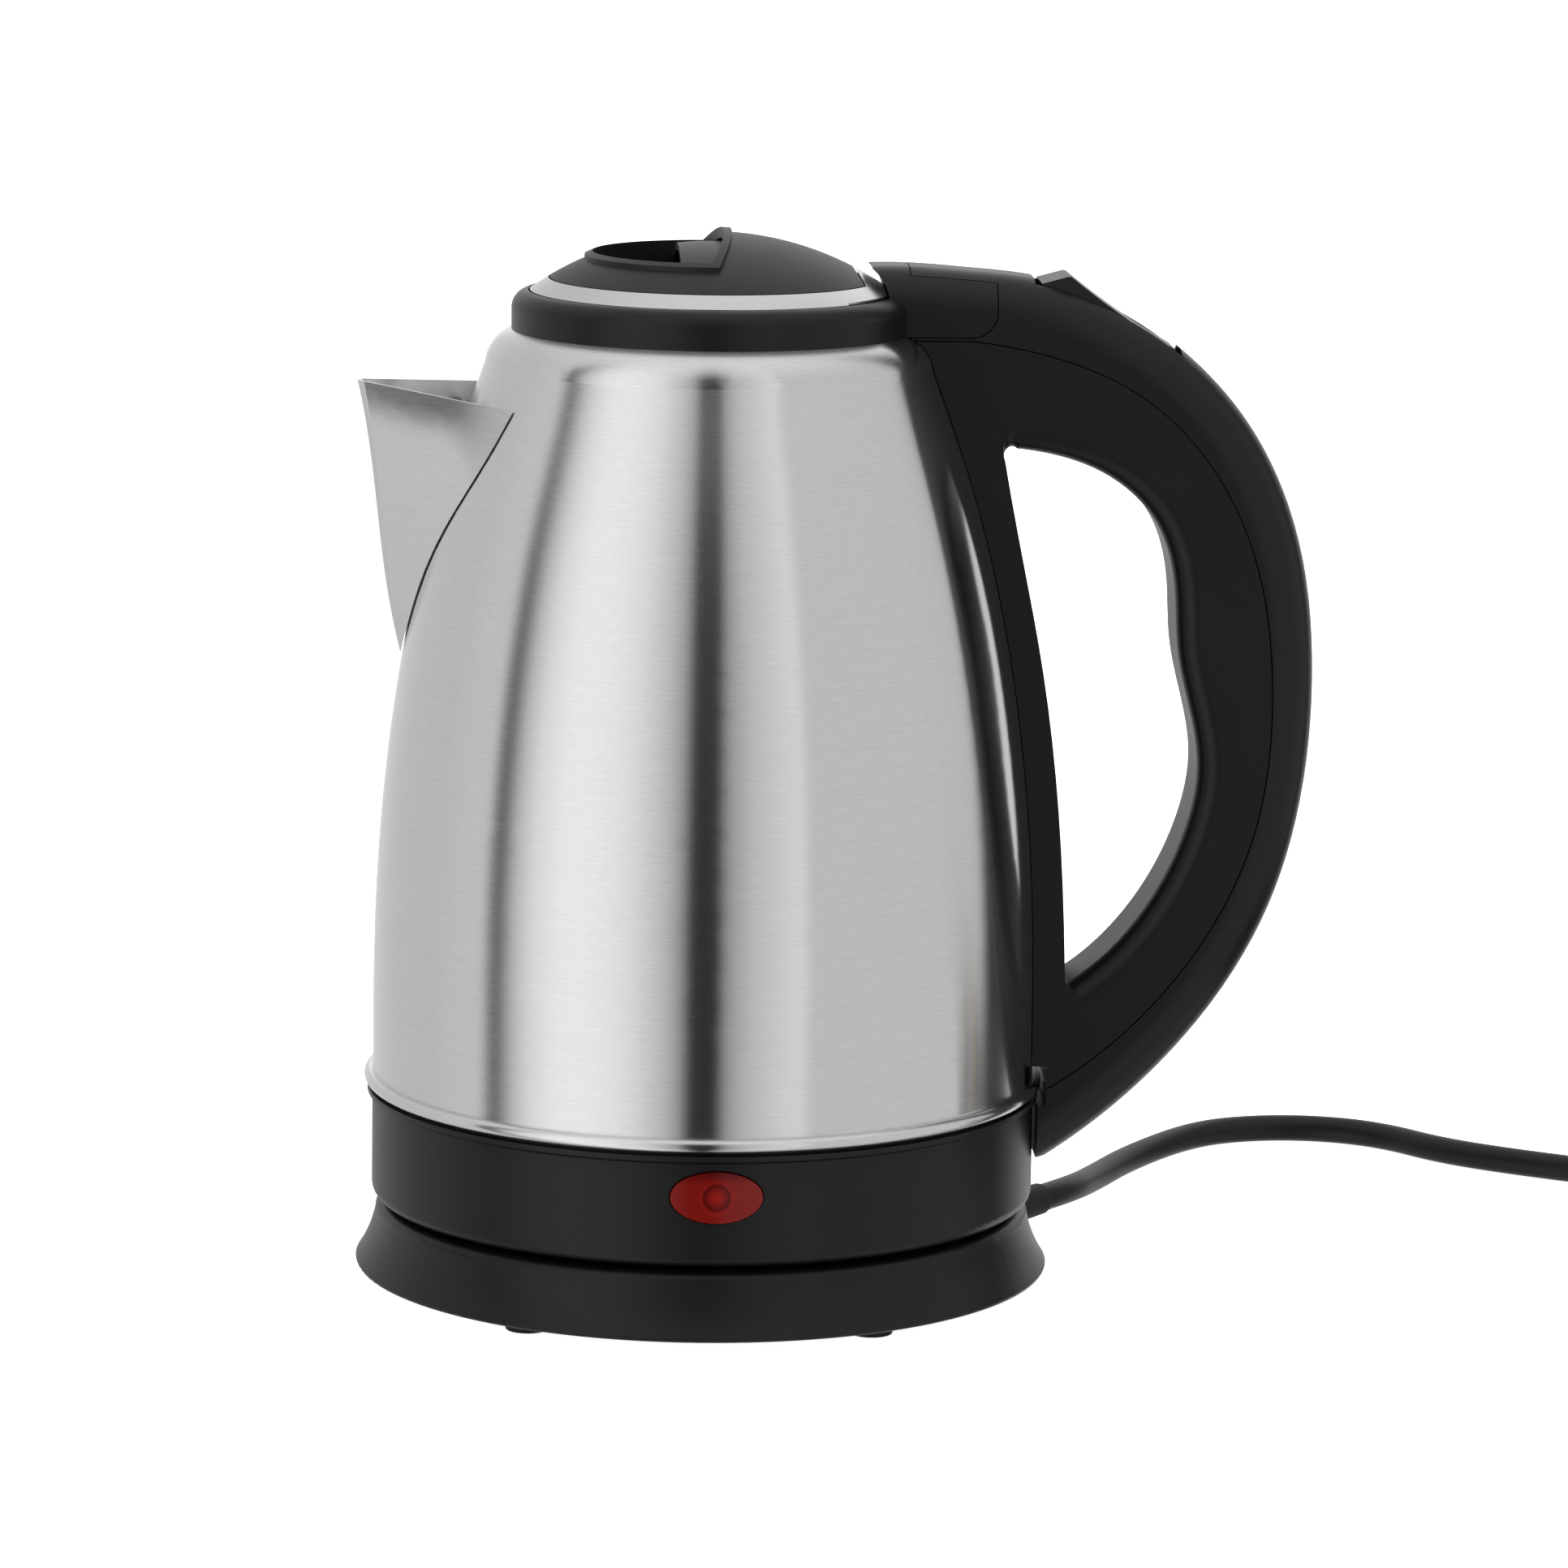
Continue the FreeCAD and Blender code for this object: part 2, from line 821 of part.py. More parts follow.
def element_terminals():
    half = math.radians((360 - element_sweep) / 2)
    ends = []
    for side in (1, -1):
        spot = V(element_ring_r * math.cos(half), side * element_ring_r * math.sin(half),
                 element_wire_z())
        heading = V(math.sin(half), -side * math.cos(half), 0)
        ends.append(Part.makeCylinder(terminal_r, terminal_len, spot, heading))
    return group(ends)


def control_unit():
    return disc(control_r, connector_top, control_top)


def thermal_discs():
    spots = around((90.0, 270.0), disc_circle_r)
    return group([disc(disc_r, control_top, heat_z, x, y) for x, y in spots])


# Steel body and spout

def spout_reach(share, reach):
    return body_radius(up_body(share)) + reach


def spout_section(station, inset):
    """Horizontal section of the spout: two flanks from inside the body to a rounded nose."""
    share, reach, half_w = station
    z = up_body(share)
    root = body_radius(z)
    seam_x = -math.sqrt(root * root - half_w * half_w)
    nose = min(spout_nose_r, half_w / 2)
    flank = math.atan2(half_w, seam_x + root + reach)
    tip_x = -root - reach - nose * (1 / math.sin(flank) - 1)
    flank = math.atan2(half_w, seam_x - tip_x)
    nose = max(nose - inset, nose / 4)
    tip_x += inset / math.sin(flank)
    back_x = seam_x + spout_root
    half = (back_x - tip_x) * math.tan(flank)
    hub_x = tip_x + nose / math.sin(flank)
    touch = V(hub_x - nose * math.sin(flank), nose * math.cos(flank), z)
    mirror = V(touch.x, -touch.y, z)
    left = V(back_x, half, z)
    right = V(back_x, -half, z)
    edges = [line(left, touch), arc(touch, V(hub_x - nose, 0, z), mirror)]
    return Part.Wire(edges + [line(mirror, right), line(right, left)])


def spout_form(inset=0.0):
    return Part.makeLoft([spout_section(s, inset) for s in spout_stations], True, False)


def spout_rim_cut():
    """Everything above the spout's rim, which rises gently towards the tip."""
    far = 2 * body_r
    rim = up_body(spout_tip_share)
    tip_x = -spout_reach(spout_tip_share, spout_stations[-1][1])
    past = neck_r / 2
    points = [xz(tip_x - past, rim + past * spout_rim_slope), xz(0, rim + tip_x * spout_rim_slope)]
    points += [xz(0, rim + far), xz(tip_x - past, rim + far)]
    return slab(polygon(points), far)


def spout():
    shell = spout_form().cut(spout_form(spout_t))
    return shell.cut(body_form(spout_seam)).cut(spout_rim_cut())


def strainer_holes():
    holes = []
    for row in range(strainer_rows):
        z = up_body(strainer_low) + row * strainer_pitch
        count = 2 + row
        for i in range(count):
            turn = math.radians(180) + (i - (count - 1) / 2) * strainer_pitch / body_radius(z)
            heading = V(math.cos(turn), math.sin(turn), 0)
            start = heading * (body_radius(z) - 8) + V(0, 0, z)
            holes.append(Part.makeCylinder(strainer_hole_r, 16, start, heading))
    return holes


def body_shell():
    shell = body_form().cut(body_form(-body_t)).cut(disc(neck_r - neck_lip, body_z, tall))
    shell = shell.cut(strainer_holes())
    steam = V(neck_r / 2, 0, up_body(steam_level))
    return shell.cut(Part.makeCylinder(steam_hole_r, body_r, steam, EAST))


# Collar, hinge and lid

def right_of(x):
    far = 4 * body_r
    return box(x, far, -far, far, -far, tall + far)


def lid_zone(r, barrel, axis_x, low):
    """Round well of the lid that ends at the rear in a barrel round a cross axis."""
    well = disc(r, low, tall)
    front = well.cut(right_of(axis_x))
    rear = well.common(rod_y(barrel, r, axis_x, hinge_z))
    return fuse_all([front, rear])


def mouth(r, flat_x, z0, z1):
    return disc(r, z0, z1).cut(right_of(flat_x))


def both_sides(y, half, x0, x1, z0, z1):
    return [box(x0, x1, side * y - half, side * y + half, z0, z1) for side in (1, -1)]


def handle_solid():
    """Whole handle with the block at the collar, before it is split into its pieces."""
    top = [xz(neck_r + x, up_body(share)) for x, share in bridge_top]
    top += [from_body(p) for p in handle_outline] + [from_body(handle_end)]
    end_x = body_r + bead_out + handle_end_gap
    low_x = shell_r + handle_end_gap
    low_z = bead_z - lip_groove - 2 * lip_h - handle_end_gap
    foot_z = body_z + bead_h
    walk = [top[-1], xz(low_x, top[-1].z), xz(low_x, low_z), xz(end_x, low_z)]
    walk += [xz(end_x, foot_z), xz(body_r - neck_r / 2, foot_z)]
    walk += [xz(neck_r * 0.8, up_body(0.7)), xz(top[0].x, neck_z - collar_h), top[0]]
    edges = [spline(top)] + [line(a, b) for a, b in zip(walk, walk[1:])]
    whole = slab(Part.Wire(edges), grip_half_w)
    rims = [e for e in whole.Edges if e.Length > body_h and isinstance(e.Curve, Part.BSplineCurve)]
    whole = whole.makeFillet(grip_round, rims)
    whole = whole.cut(slab(gap_wire(), 2 * grip_half_w))
    grip_length = gap_grip().Length
    rims = [e for e in whole.Edges if abs(e.Length - grip_length) < 0.5]
    return whole.makeFillet(gap_round, rims)


def gap_grip():
    return spline([from_body(p) for p in gap_outline])


def gap_wire():
    grip = [from_body(p) for p in gap_outline]
    strap = [from_body(p) for p in gap_strap]
    middle = strap[-1] * 0.5 + grip[0] * 0.5 + V(-gap_top_bulge, 0, gap_top_bulge)
    edges = [gap_grip(), line(grip[-1], strap[0]), spline(strap), arc(strap[-1], middle, grip[0])]
    return Part.Wire(edges)


def pushed(points, grow):
    """Points moved to the left of the way they run in the XZ plane."""
    ends = [points[0]] + points + [points[-1]]
    moved = []
    for before, point, after in zip(ends, points, ends[2:]):
        along = after - before
        along.normalize()
        moved.append(point + V(-along.z, 0, along.x) * grow)
    return moved


def seam_wire(grow=0.0):
    """Outline of what lies on the body's side of the seam between the two handle halves."""
    seam = [from_body(p) for p in seam_outline]
    level = xz(seam[0].x - 8, neck_z - seam_drop)
    points = pushed([level] + seam, grow)
    start = xz(0, points[0].z)
    low = xz(0, points[-1].z)
    edges = [line(start, points[0]), spline(points), line(points[-1], low), line(low, start)]
    return Part.Wire(edges)


def seam_region():
    return slab(seam_wire(), 3 * grip_half_w)


def seam_groove():
    """Shadow line beside the seam, in the flanks of the outer half only."""
    core_half = grip_half_w - seam_groove_depth
    wide = slab(seam_wire(seam_groove_w), 3 * grip_half_w)
    return wide.cut(box(-tall, tall, -core_half, core_half, -tall, tall))


def block_zone(grow=0.0):
    """Room of the block at the back of the collar, with its round lower corner."""
    end = neck_r + arm_end + grow
    low = neck_z - grow
    bend = arm_corner_r + grow
    slant = bend * (1 - math.sin(math.pi / 4))
    edges = [
        line(xz(0, low), xz(end - bend, low)),
        arc(xz(end - bend, low), xz(end - slant, low + slant), xz(end, low + bend)),
        line(xz(end, low + bend), xz(end, tall)),
        line(xz(end, tall), xz(0, tall)),
        line(xz(0, tall), xz(0, low)),
    ]
    return slab(Part.Wire(edges), 3 * grip_half_w)


def tongue_zone(grow=0.0):
    half = tongue_half_w + grow
    return box(neck_r + tongue_start - grow, tall, -half, half, collar_top + tongue_rise - grow, tall)


def collar_ring():
    well_r = lid_r + lid_gap
    skirt_r = neck_r - neck_lip - run_gap
    shoulder = neck_z + collar_shoulder_h
    points = [(well_r + collar_lip, collar_top), (well_r, collar_top), (well_r, ledge_z)]
    points += [(skirt_r, ledge_z), (skirt_r, neck_z), (neck_r, neck_z), (neck_r, shoulder)]
    edges = [round_corner(neck_r, shoulder, well_r + collar_lip, collar_top, False)]
    for (r0, z0), (r1, z1) in zip(points, points[1:]):
        edges.append(line(xz(r0, z0), xz(r1, z1)))
    ledge = disc(skirt_r, ledge_z, ledge_top).cut(mouth(mouth_r, mouth_flat_x, ledge_z, ledge_top))
    return fuse_all([lathe_wire(Part.Wire(edges)), ledge])


def lid_swung():
    """Room that the lid's front takes up when the lid stands open."""
    room = ball(dome_ball_r + lid_gap).common(disc(lid_r + lid_gap, hinge_z, tall)).cut(right_of(hinge_x))
    room.rotate(V(hinge_x, 0, hinge_z), NORTH, lid_open_deg)
    return room


def top_collar(whole):
    room = barrel_r + lid_gap
    block = whole.common(block_zone())
    block = block.cut(box(-tall, hinge_x, -tall, tall, hinge_z, tall)).cut(lid_swung())
    collar = fuse_all([collar_ring(), block])
    collar = collar.cut(tongue_zone(part_gap))
    collar = collar.cut(lid_zone(lid_r + lid_gap, room, hinge_x, ledge_top))
    lugs = both_sides(lug_y, lug_w / 2, hinge_x - lug_r / 2, hinge_x + lug_r / 2, ledge_z, hinge_z)
    for side in (1, -1):
        eye = Part.makeCylinder(lug_r, lug_w, V(hinge_x, side * lug_y - lug_w / 2, hinge_z), NORTH)
        lugs.append(eye)
    collar = fuse_all([collar] + lugs)
    return collar.cut(rod_y(hinge_pin_r + fit_gap, lug_y + lug_w, hinge_x, hinge_z))


def lug_room():
    """Room in the lid for the collar's two hinge eyes."""
    half = lug_w / 2 + run_gap
    start = V(hinge_x, lug_y - half, hinge_z)
    mirror = V(hinge_x, -lug_y - half, hinge_z)
    rooms = [Part.makeCylinder(lug_r + lid_gap, 2 * half, at, NORTH) for at in (start, mirror)]
    return fuse_all(rooms)


def hinge_pin():
    return rod_y(hinge_pin_r, lug_y + lug_w / 2, hinge_x, hinge_z)


def recess_zone(grow, low, high):
    """D-shaped finger recess: round in front, with a gently bowed straight side at the rear."""
    bow = disc(recess_bow_r + grow, low, high, recess_flat_x - recess_bow_r)
    return disc(recess_r + grow, low, high).common(bow)


def lid_top():
    outer = ball(dome_ball_r).common(lid_zone(dome_r, dome_barrel_r, dome_axis_x, dome_low))
    inner = ball(dome_ball_r - lid_skin)
    inner = inner.common(lid_zone(dome_r, dome_barrel_r - lid_skin, dome_axis_x, ledge_z))
    dome = outer.cut(inner).cut(recess_zone(0, recess_floor_z, tall))
    rim = ball(dome_ball_r + rim_h).cut(ball(dome_ball_r - lid_skin))
    rim = rim.common(recess_zone(rim_w, dome_low, tall)).cut(recess_zone(0, dome_low, tall))
    wall = tube(recess_r, recess_r + recess_wall, recess_floor_z, tall).common(ball(dome_ball_r))
    wall = wall.cut(right_of(-recess_wall))
    floor_end = latch_riser_half + latch_travel + 2 * run_gap
    floor = disc(recess_r + recess_wall, recess_floor_z, recess_floor_z + recess_wall)
    floor = floor.cut(right_of(floor_end))
    slot_half = latch_riser_half_w + run_gap
    slot = box(-latch_riser_half - run_gap, tall, -slot_half, slot_half, ledge_z, dome_low + 1)
    return fuse_all([dome, rim, wall, floor]).cut(slot).cut(lug_room())


def lid_trim():
    outer = ball(dome_ball_r).common(lid_zone(lid_r, barrel_r, hinge_x, hinge_z + 1))
    inner = ball(dome_ball_r - lid_skin)
    inner = inner.common(lid_zone(lid_r, barrel_r - lid_skin, hinge_x, ledge_z))
    inside = lid_zone(dome_r + trim_groove, dome_barrel_r + trim_groove, dome_axis_x, ledge_z)
    spare = tube(lid_r - trim_rear_in, lid_r + lid_gap, ledge_z, tall).common(right_of(trim_rear_x))
    return outer.cut(inner).cut(inside).cut(spare).cut(lug_room())


def lid_body():
    skin = lid_skin + touch_gap
    block = ball(dome_ball_r - skin)
    block = block.common(lid_zone(lid_wall_r, barrel_r - skin, hinge_x, lid_floor_z))
    block = block.cut(mouth(lid_wall_r - lid_ring_w, hinge_x - lid_rear_wall, lid_floor_top, tall))
    dome_room = lid_zone(dome_r + touch_gap, dome_barrel_r + touch_gap, dome_axis_x, dome_low - touch_gap)
    block = block.cut(box(0, hinge_x, -recess_r, recess_r, dome_low, tall))
    block = block.cut(dome_room)
    slot_half = lug_w / 2 + run_gap
    block = block.cut(both_sides(lug_y, slot_half, lid_flat_x, tall, ledge_z, hinge_z + lug_r / 2 + 1))
    for side in (1, -1):
        start = V(hinge_x, side * lug_y - slot_half, hinge_z)
        block = block.cut(Part.makeCylinder(lug_r + lid_gap, 2 * slot_half, start, NORTH))
    block = block.cut(rod_y(hinge_pin_r + fit_gap, lug_y + lug_w, hinge_x, hinge_z))
    bolt_half = latch_half_w + run_gap
    block = block.cut(box(-tall, 0, -bolt_half, bolt_half, lid_floor_top, recess_floor_z))
    post_x = latch_riser_half + spring_len + touch_gap
    post_half = spring_coil_r + 1
    post = box(post_x, post_x + spring_post_t, -post_half, post_half,
               lid_floor_z + run_gap, spring_z() + post_half)
    return fuse_all([block, post])


def lid_pan():
    return mouth(seal_r - seal_w - run_gap, lid_flat_x - seal_w - run_gap,
                 lid_floor_z - pan_t, lid_floor_z)


def lid_seal():
    low = ledge_top + lid_gap
    ring = mouth(seal_r, lid_flat_x, low, lid_floor_z)
    return ring.cut(mouth(seal_r - seal_w, lid_flat_x - seal_w, low, lid_floor_z))


def spring_z():
    return recess_floor_z + recess_wall + spring_coil_r + spring_wire_r + run_gap


def lid_latch():
    low = lid_floor_top + run_gap
    top = dome_ball_r - lid_skin - latch_grip_drop
    right = recess_flat_x + latch_tuck
    grip = ball(top).cut(ball(top - latch_t))
    grip = grip.common(box(latch_grip_x, right, -latch_grip_half_w, latch_grip_half_w, hinge_z, tall))
    grip = grip.common(disc(recess_r - 2 * run_gap, hinge_z, tall))
    riser = box(-latch_riser_half, latch_riser_half, -latch_riser_half_w, latch_riser_half_w, low, tall)
    riser = riser.common(ball(top - latch_t / 2))
    bar = box(bolt_short - lid_wall_r, latch_riser_half, -latch_half_w, latch_half_w, low, low + latch_t)
    return fuse_all([grip, riser, bar])


def latch_spring():
    """Round wire wound about an axis along X: x grows evenly with the turn."""
    points = []
    tangents = []
    start = latch_riser_half + spring_wire_r + touch_gap
    rise = (spring_len - 2 * spring_wire_r - touch_gap) / (4 * spring_turns)
    for i in range(4 * spring_turns + 1):
        turn = i * math.pi / 2
        y = spring_coil_r * math.cos(turn)
        z = spring_coil_r * math.sin(turn)
        points.append(V(start + i * rise, y, spring_z() + z))
        along = V(rise / (math.pi / 2), -z, y)
        along.normalize()
        tangents.append(along)
    return pipe(smooth_path(points, tangents), spring_wire_r)[0]


# Handle and switch

def outline_slab(outer, inner, half):
    first = [from_body(p) for p in outer]
    second = [from_body(p) for p in inner]
    edges = [spline(first), line(first[-1], second[0]), spline(second), line(second[-1], first[0])]
    return slab(Part.Wire(edges), half)


def cavity():
    return outline_slab(cavity_outer, cavity_inner, cavity_half_w)


def rocker_room():
    x0 = body_r + rocker_room_x[0]
    x1 = body_r + rocker_room_x[1]
    drop = V(0, 0, -rocker_room_low)
    front = from_body(rocker_low_front) + drop
    back = from_body(rocker_low_back) + drop
    points = [xz(x0, front.z), xz(x0, tall), xz(x1, tall), xz(x1, back.z)]
    return slab(polygon(points), rocker_half_w + lid_gap)


def rocker_pin_half():
    return rocker_half_w + lid_gap + rocker_pin_bite


def handle_outer(whole):
    half = whole.cut(seam_region()).cut(seam_groove())
    main = half.cut(block_zone(part_gap))
    tongue = half.common(tongue_zone()).common(box(0, neck_r + arm_end + 2, -tall, tall, 0, tall))
    shell = fuse_all([main, tongue]).cut(body_form(touch_gap)).cut(cavity()).cut(rocker_room())
    pivot = from_body(rocker_pivot)
    return shell.cut(rod_y(rocker_pin_r + fit_gap, rocker_pin_half(), pivot.x, pivot.z))


def handle_inner(whole):
    half = whole.common(seam_region()).cut(body_form(touch_gap)).cut(cavity())
    for x, z, end in stud_seats():
        half = half.cut(Part.makeCylinder(mount_stud_r + run_gap, body_r, V(x - boss_r, 0, z), EAST))
    steam = V(neck_r, 0, up_body(steam_level))
    return half.cut(Part.makeCylinder(steam_hole_r, body_r + steam_block_x - neck_r, steam, EAST))


def stud_seats():
    for level, reach in mount_studs:
        z = up_body(level)
        yield body_radius(z) + fit_gap, z, body_r + reach


def handle_studs():
    studs = []
    for x, z, end in stud_seats():
        stud = Part.makeCylinder(mount_stud_r, end - x + mount_stud_r, V(x - mount_stud_r, 0, z), EAST)
        studs.append(stud.cut(body_form(touch_gap)))
    return group(studs)


def handle_nuts():
    nuts = []
    for x, z, end in stud_seats():
        back = end - nut_back
        corners = []
        for i in range(6):
            turn = math.radians(60 * i)
            reach = nut_flats / math.sqrt(3)
            corners.append(V(back - nut_t, reach * math.cos(turn), z + reach * math.sin(turn)))
        nut = Part.Face(polygon(corners)).extrude(V(nut_t, 0, 0))
        bore = Part.makeCylinder(mount_stud_r + fit_gap, 2 * nut_t, V(back - 1.5 * nut_t, 0, z), EAST)
        nuts.append(nut.cut(bore))
    return group(nuts)


def steam_control():
    x = body_r + steam_block_x
    z = up_body(steam_block_low)
    half = cavity_half_w - 2 * touch_gap
    return box(x, x + steam_block_len, -half, half, z, z + steam_block_h)


def steam_disc():
    x = body_r + steam_block_x - steam_disc_t
    return Part.makeCylinder(steam_disc_r, steam_disc_t, V(x, 0, up_body(steam_level)), EAST)


def switch_rocker():
    corner = from_body(rocker_start)
    nose = from_body(rocker_nose)
    dip = from_body(rocker_dip)
    back = from_body(rocker_back)
    low_back = from_body(rocker_low_back)
    low_front = from_body(rocker_low_front)
    edges = [line(corner, nose), arc(nose, dip, back), line(back, low_back)]
    edges += [line(low_back, low_front), line(low_front, corner)]
    rocker = slab(Part.Wire(edges), rocker_half_w)
    ridge = [e for e in rocker.Edges if abs(e.CenterOfMass.x - nose.x) < 1e-3
             and abs(e.CenterOfMass.z - nose.z) < 1e-3]
    rocker = rocker.makeFillet(rocker_nose_round, ridge)
    pivot = from_body(rocker_pivot)
    return rocker.cut(rod_y(rocker_pin_r + fit_gap, 2 * rocker_half_w, pivot.x, pivot.z))


def switch_pin():
    pivot = from_body(rocker_pivot)
    return rod_y(rocker_pin_r, rocker_pin_half(), pivot.x, pivot.z)


# Mains lead

def lead_start():
    first = V(*lead_points[0])
    heading = V(*lead_points[1]) - first
    heading.normalize()
    return first, heading


def gland_room(wide=False):
    """Notch in the base for the strain relief, open towards the table."""
    end, heading = lead_start()
    r = (gland_big_r + gland_flange if wide else gland_big_r) + run_gap
    reach = gland_len + 4
    start = end - heading * reach
    length = reach + 20 if not wide else gland_flange_t + 12
    round_part = Part.makeCylinder(r, length, start, heading)
    slot = Part.makeBox(length, 2 * r, end.z + 1, V(0, -r, -1))
    slot.rotate(V(0, 0, 0), UP, math.degrees(math.atan2(heading.y, heading.x)))
    slot.translate(V(start.x, start.y, 0))
    return fuse_all([round_part, slot])


def cord_gland():
    end, heading = lead_start()
    start = end - heading * gland_len
    taper = Part.makeCone(gland_big_r, gland_small_r, gland_len, start, heading)
    flange = Part.makeCylinder(gland_big_r + gland_flange, gland_flange_t, start, heading)
    flange = flange.common(disc(tall, end.z - gland_big_r, deck_z - run_gap))
    return fuse_all([taper, flange])


def lead_edges():
    """Straight runs joined by tangent arcs, each arc as wide as its shorter run allows."""
    points = [V(*p) for p in lead_points]
    edges = []
    radii = []
    here = points[0]
    for before, corner, after in zip(points, points[1:], points[2:]):
        back = before - corner
        on = after - corner
        shorter = min(back.Length, on.Length)
        back.normalize()
        on.normalize()
        half_turn = (math.pi - back.getAngle(on)) / 2
        cut = lead_arc_share * shorter
        radii.append(cut / math.tan(half_turn))
        start = corner + back * cut
        end = corner + on * cut
        inward = back + on
        inward.normalize()
        middle = corner + inward * (radii[-1] / math.cos(half_turn) - radii[-1])
        edges.append(line(here, start))
        edges.append(arc(start, middle, end))
        here = end
    edges.append(line(here, points[-1]))
    print("lead radii", [round(r, 1) for r in radii])
    return edges


def checked_tube(name, edges):
    solid, length = pipe(edges, cord_d / 2)
    section = math.pi * cord_d * cord_d / 4
    print(name, "length", round(length, 1), "volume share", round(solid.Volume / (section * length), 4))
    return solid


def coil_radius(turn):
    """Steady spiral in and out again, smoothed over the half turn where it reverses."""
    middle = coil_turns * math.pi
    rate = coil_pitch / (2 * math.pi)
    least = coil_r - rate * middle
    off = abs(turn - middle)
    if off > math.pi / 2:
        return least + rate * off
    share = off / (math.pi / 2)
    return least + rate * math.pi / 4 * (share * share + 1)


def coil_height(turn):
    """Lower layer, a smooth climb in the half turn where the spiral reverses, upper layer."""
    share = (turn - coil_turns * math.pi) / math.pi + 0.5
    share = min(max(share, 0.0), 1.0)
    return lead_points[-1][2] + coil_layer * share * share * (3 - 2 * share)


def coil_frame():
    last = V(*lead_points[-1])
    heading = last - V(*lead_points[-2])
    heading.normalize()
    lean = math.atan(coil_pitch / (2 * math.pi) / coil_r)
    angle = math.atan2(heading.y, heading.x) + math.pi / 2 + lean
    begin = last + heading * cord_d
    centre = begin - V(math.cos(angle), math.sin(angle), 0) * coil_r
    return last, centre, angle


def coil_point(turn):
    last, centre, angle = coil_frame()
    r = coil_radius(turn)
    at = angle - turn
    return V(centre.x + r * math.cos(at), centre.y + r * math.sin(at), coil_height(turn))


def coil_tangent(turn):
    step = 1e-4
    tangent = coil_point(turn + step) - coil_point(turn - step)
    tangent.normalize()
    return tangent


def coil_end():
    turn = 2 * math.pi * coil_turns
    heading = coil_tangent(turn - 1e-3)
    heading = V(heading.x, heading.y, 0)
    heading.normalize()
    return coil_point(turn) + heading * coil_tail * cord_d, heading


def cord_coil():
    turns = [i * math.pi / 4 for i in range(int(8 * coil_turns) + 1)]
    points = [coil_point(t) for t in turns]
    tangents = [coil_tangent(t) for t in turns]
    end, heading = coil_end()
    first = coil_frame()[0]
    tangents[0] = points[0] - first
    tangents[0].normalize()
    tangents[-1] = heading
    edges = [line(first, points[0])] + smooth_path(points, tangents) + [line(points[-1], end)]
    dense = [coil_point(i * math.pi / 60) for i in range(int(120 * coil_turns) + 1)]
    least = min(
        (dense[i] - dense[j]).Length
        for i in range(len(dense)) for j in range(i + 60, len(dense)))
    print("coil least gap", round(least - cord_d, 2), least - cord_d > coil_least_gap)
    return checked_tube("coil", edges)


def cord_lead():
    return checked_tube("lead", lead_edges())


def cord_tie():
    """Band round the two stacked turns of the coil."""
    turn = tie_turn * math.pi
    low = coil_point(turn)
    high = coil_point(turn + 2 * math.pi)
    last, centre, angle = coil_frame()
    reach = cord_d / 2 + tie_slack
    r_low = min(coil_radius(turn), coil_radius(turn + 2 * math.pi)) - reach
    r_high = max(coil_radius(turn), coil_radius(turn + 2 * math.pi)) + reach
    z_low = low.z - cord_d / 2 - tie_slack / 2
    z_high = high.z + cord_d / 2 + tie_slack / 2
    outer = box(r_low - tie_t, r_high + tie_t, -tie_w / 2, tie_w / 2, z_low - tie_t, z_high + tie_t)
    corners = [e for e in outer.Edges if abs(e.Length - tie_w) < 1e-6]
    outer = outer.makeFillet(2 * tie_t, corners)
    band = outer.cut(box(r_low, r_high, -tie_w, tie_w, z_low, z_high))
    band.rotate(V(0, 0, 0), UP, math.degrees(angle - turn))
    band.translate(V(centre.x, centre.y, 0))
    return band


def on_plug(shape):
    """Moves a shape from the plug's own frame, x away from the lead, to where the lead ends."""
    end, heading = coil_end()
    shape.rotate(V(0, 0, 0), UP, math.degrees(math.atan2(heading.y, heading.x)))
    shape.translate(V(end.x, end.y, 0))
    return shape


def pin_boxes(grow, low, longer):
    x = plug_neck_len + pin_line_x
    top = plug_h + pin_len + longer
    pins = []
    for side in (1, -1):
        y = side * pin_spacing / 2
        pins.append(box(x - pin_t / 2 - grow, x + pin_t / 2 + grow,
                        y - pin_w / 2 - grow, y + pin_w / 2 + grow, low, top))
    far = x + earth_offset
    pins.append(box(far - earth_t / 2 - grow, far + earth_t / 2 + grow, -earth_w / 2 - grow,
                    earth_w / 2 + grow, low, plug_h + earth_len + longer))
    return pins


def fuse_box(grow, low):
    x = plug_neck_len + pin_line_x + fuse_x
    return box(x - fuse_w / 2 - grow, x + fuse_w / 2 + grow, -fuse_len / 2 - grow,
               fuse_len / 2 + grow, low, plug_h + grow)


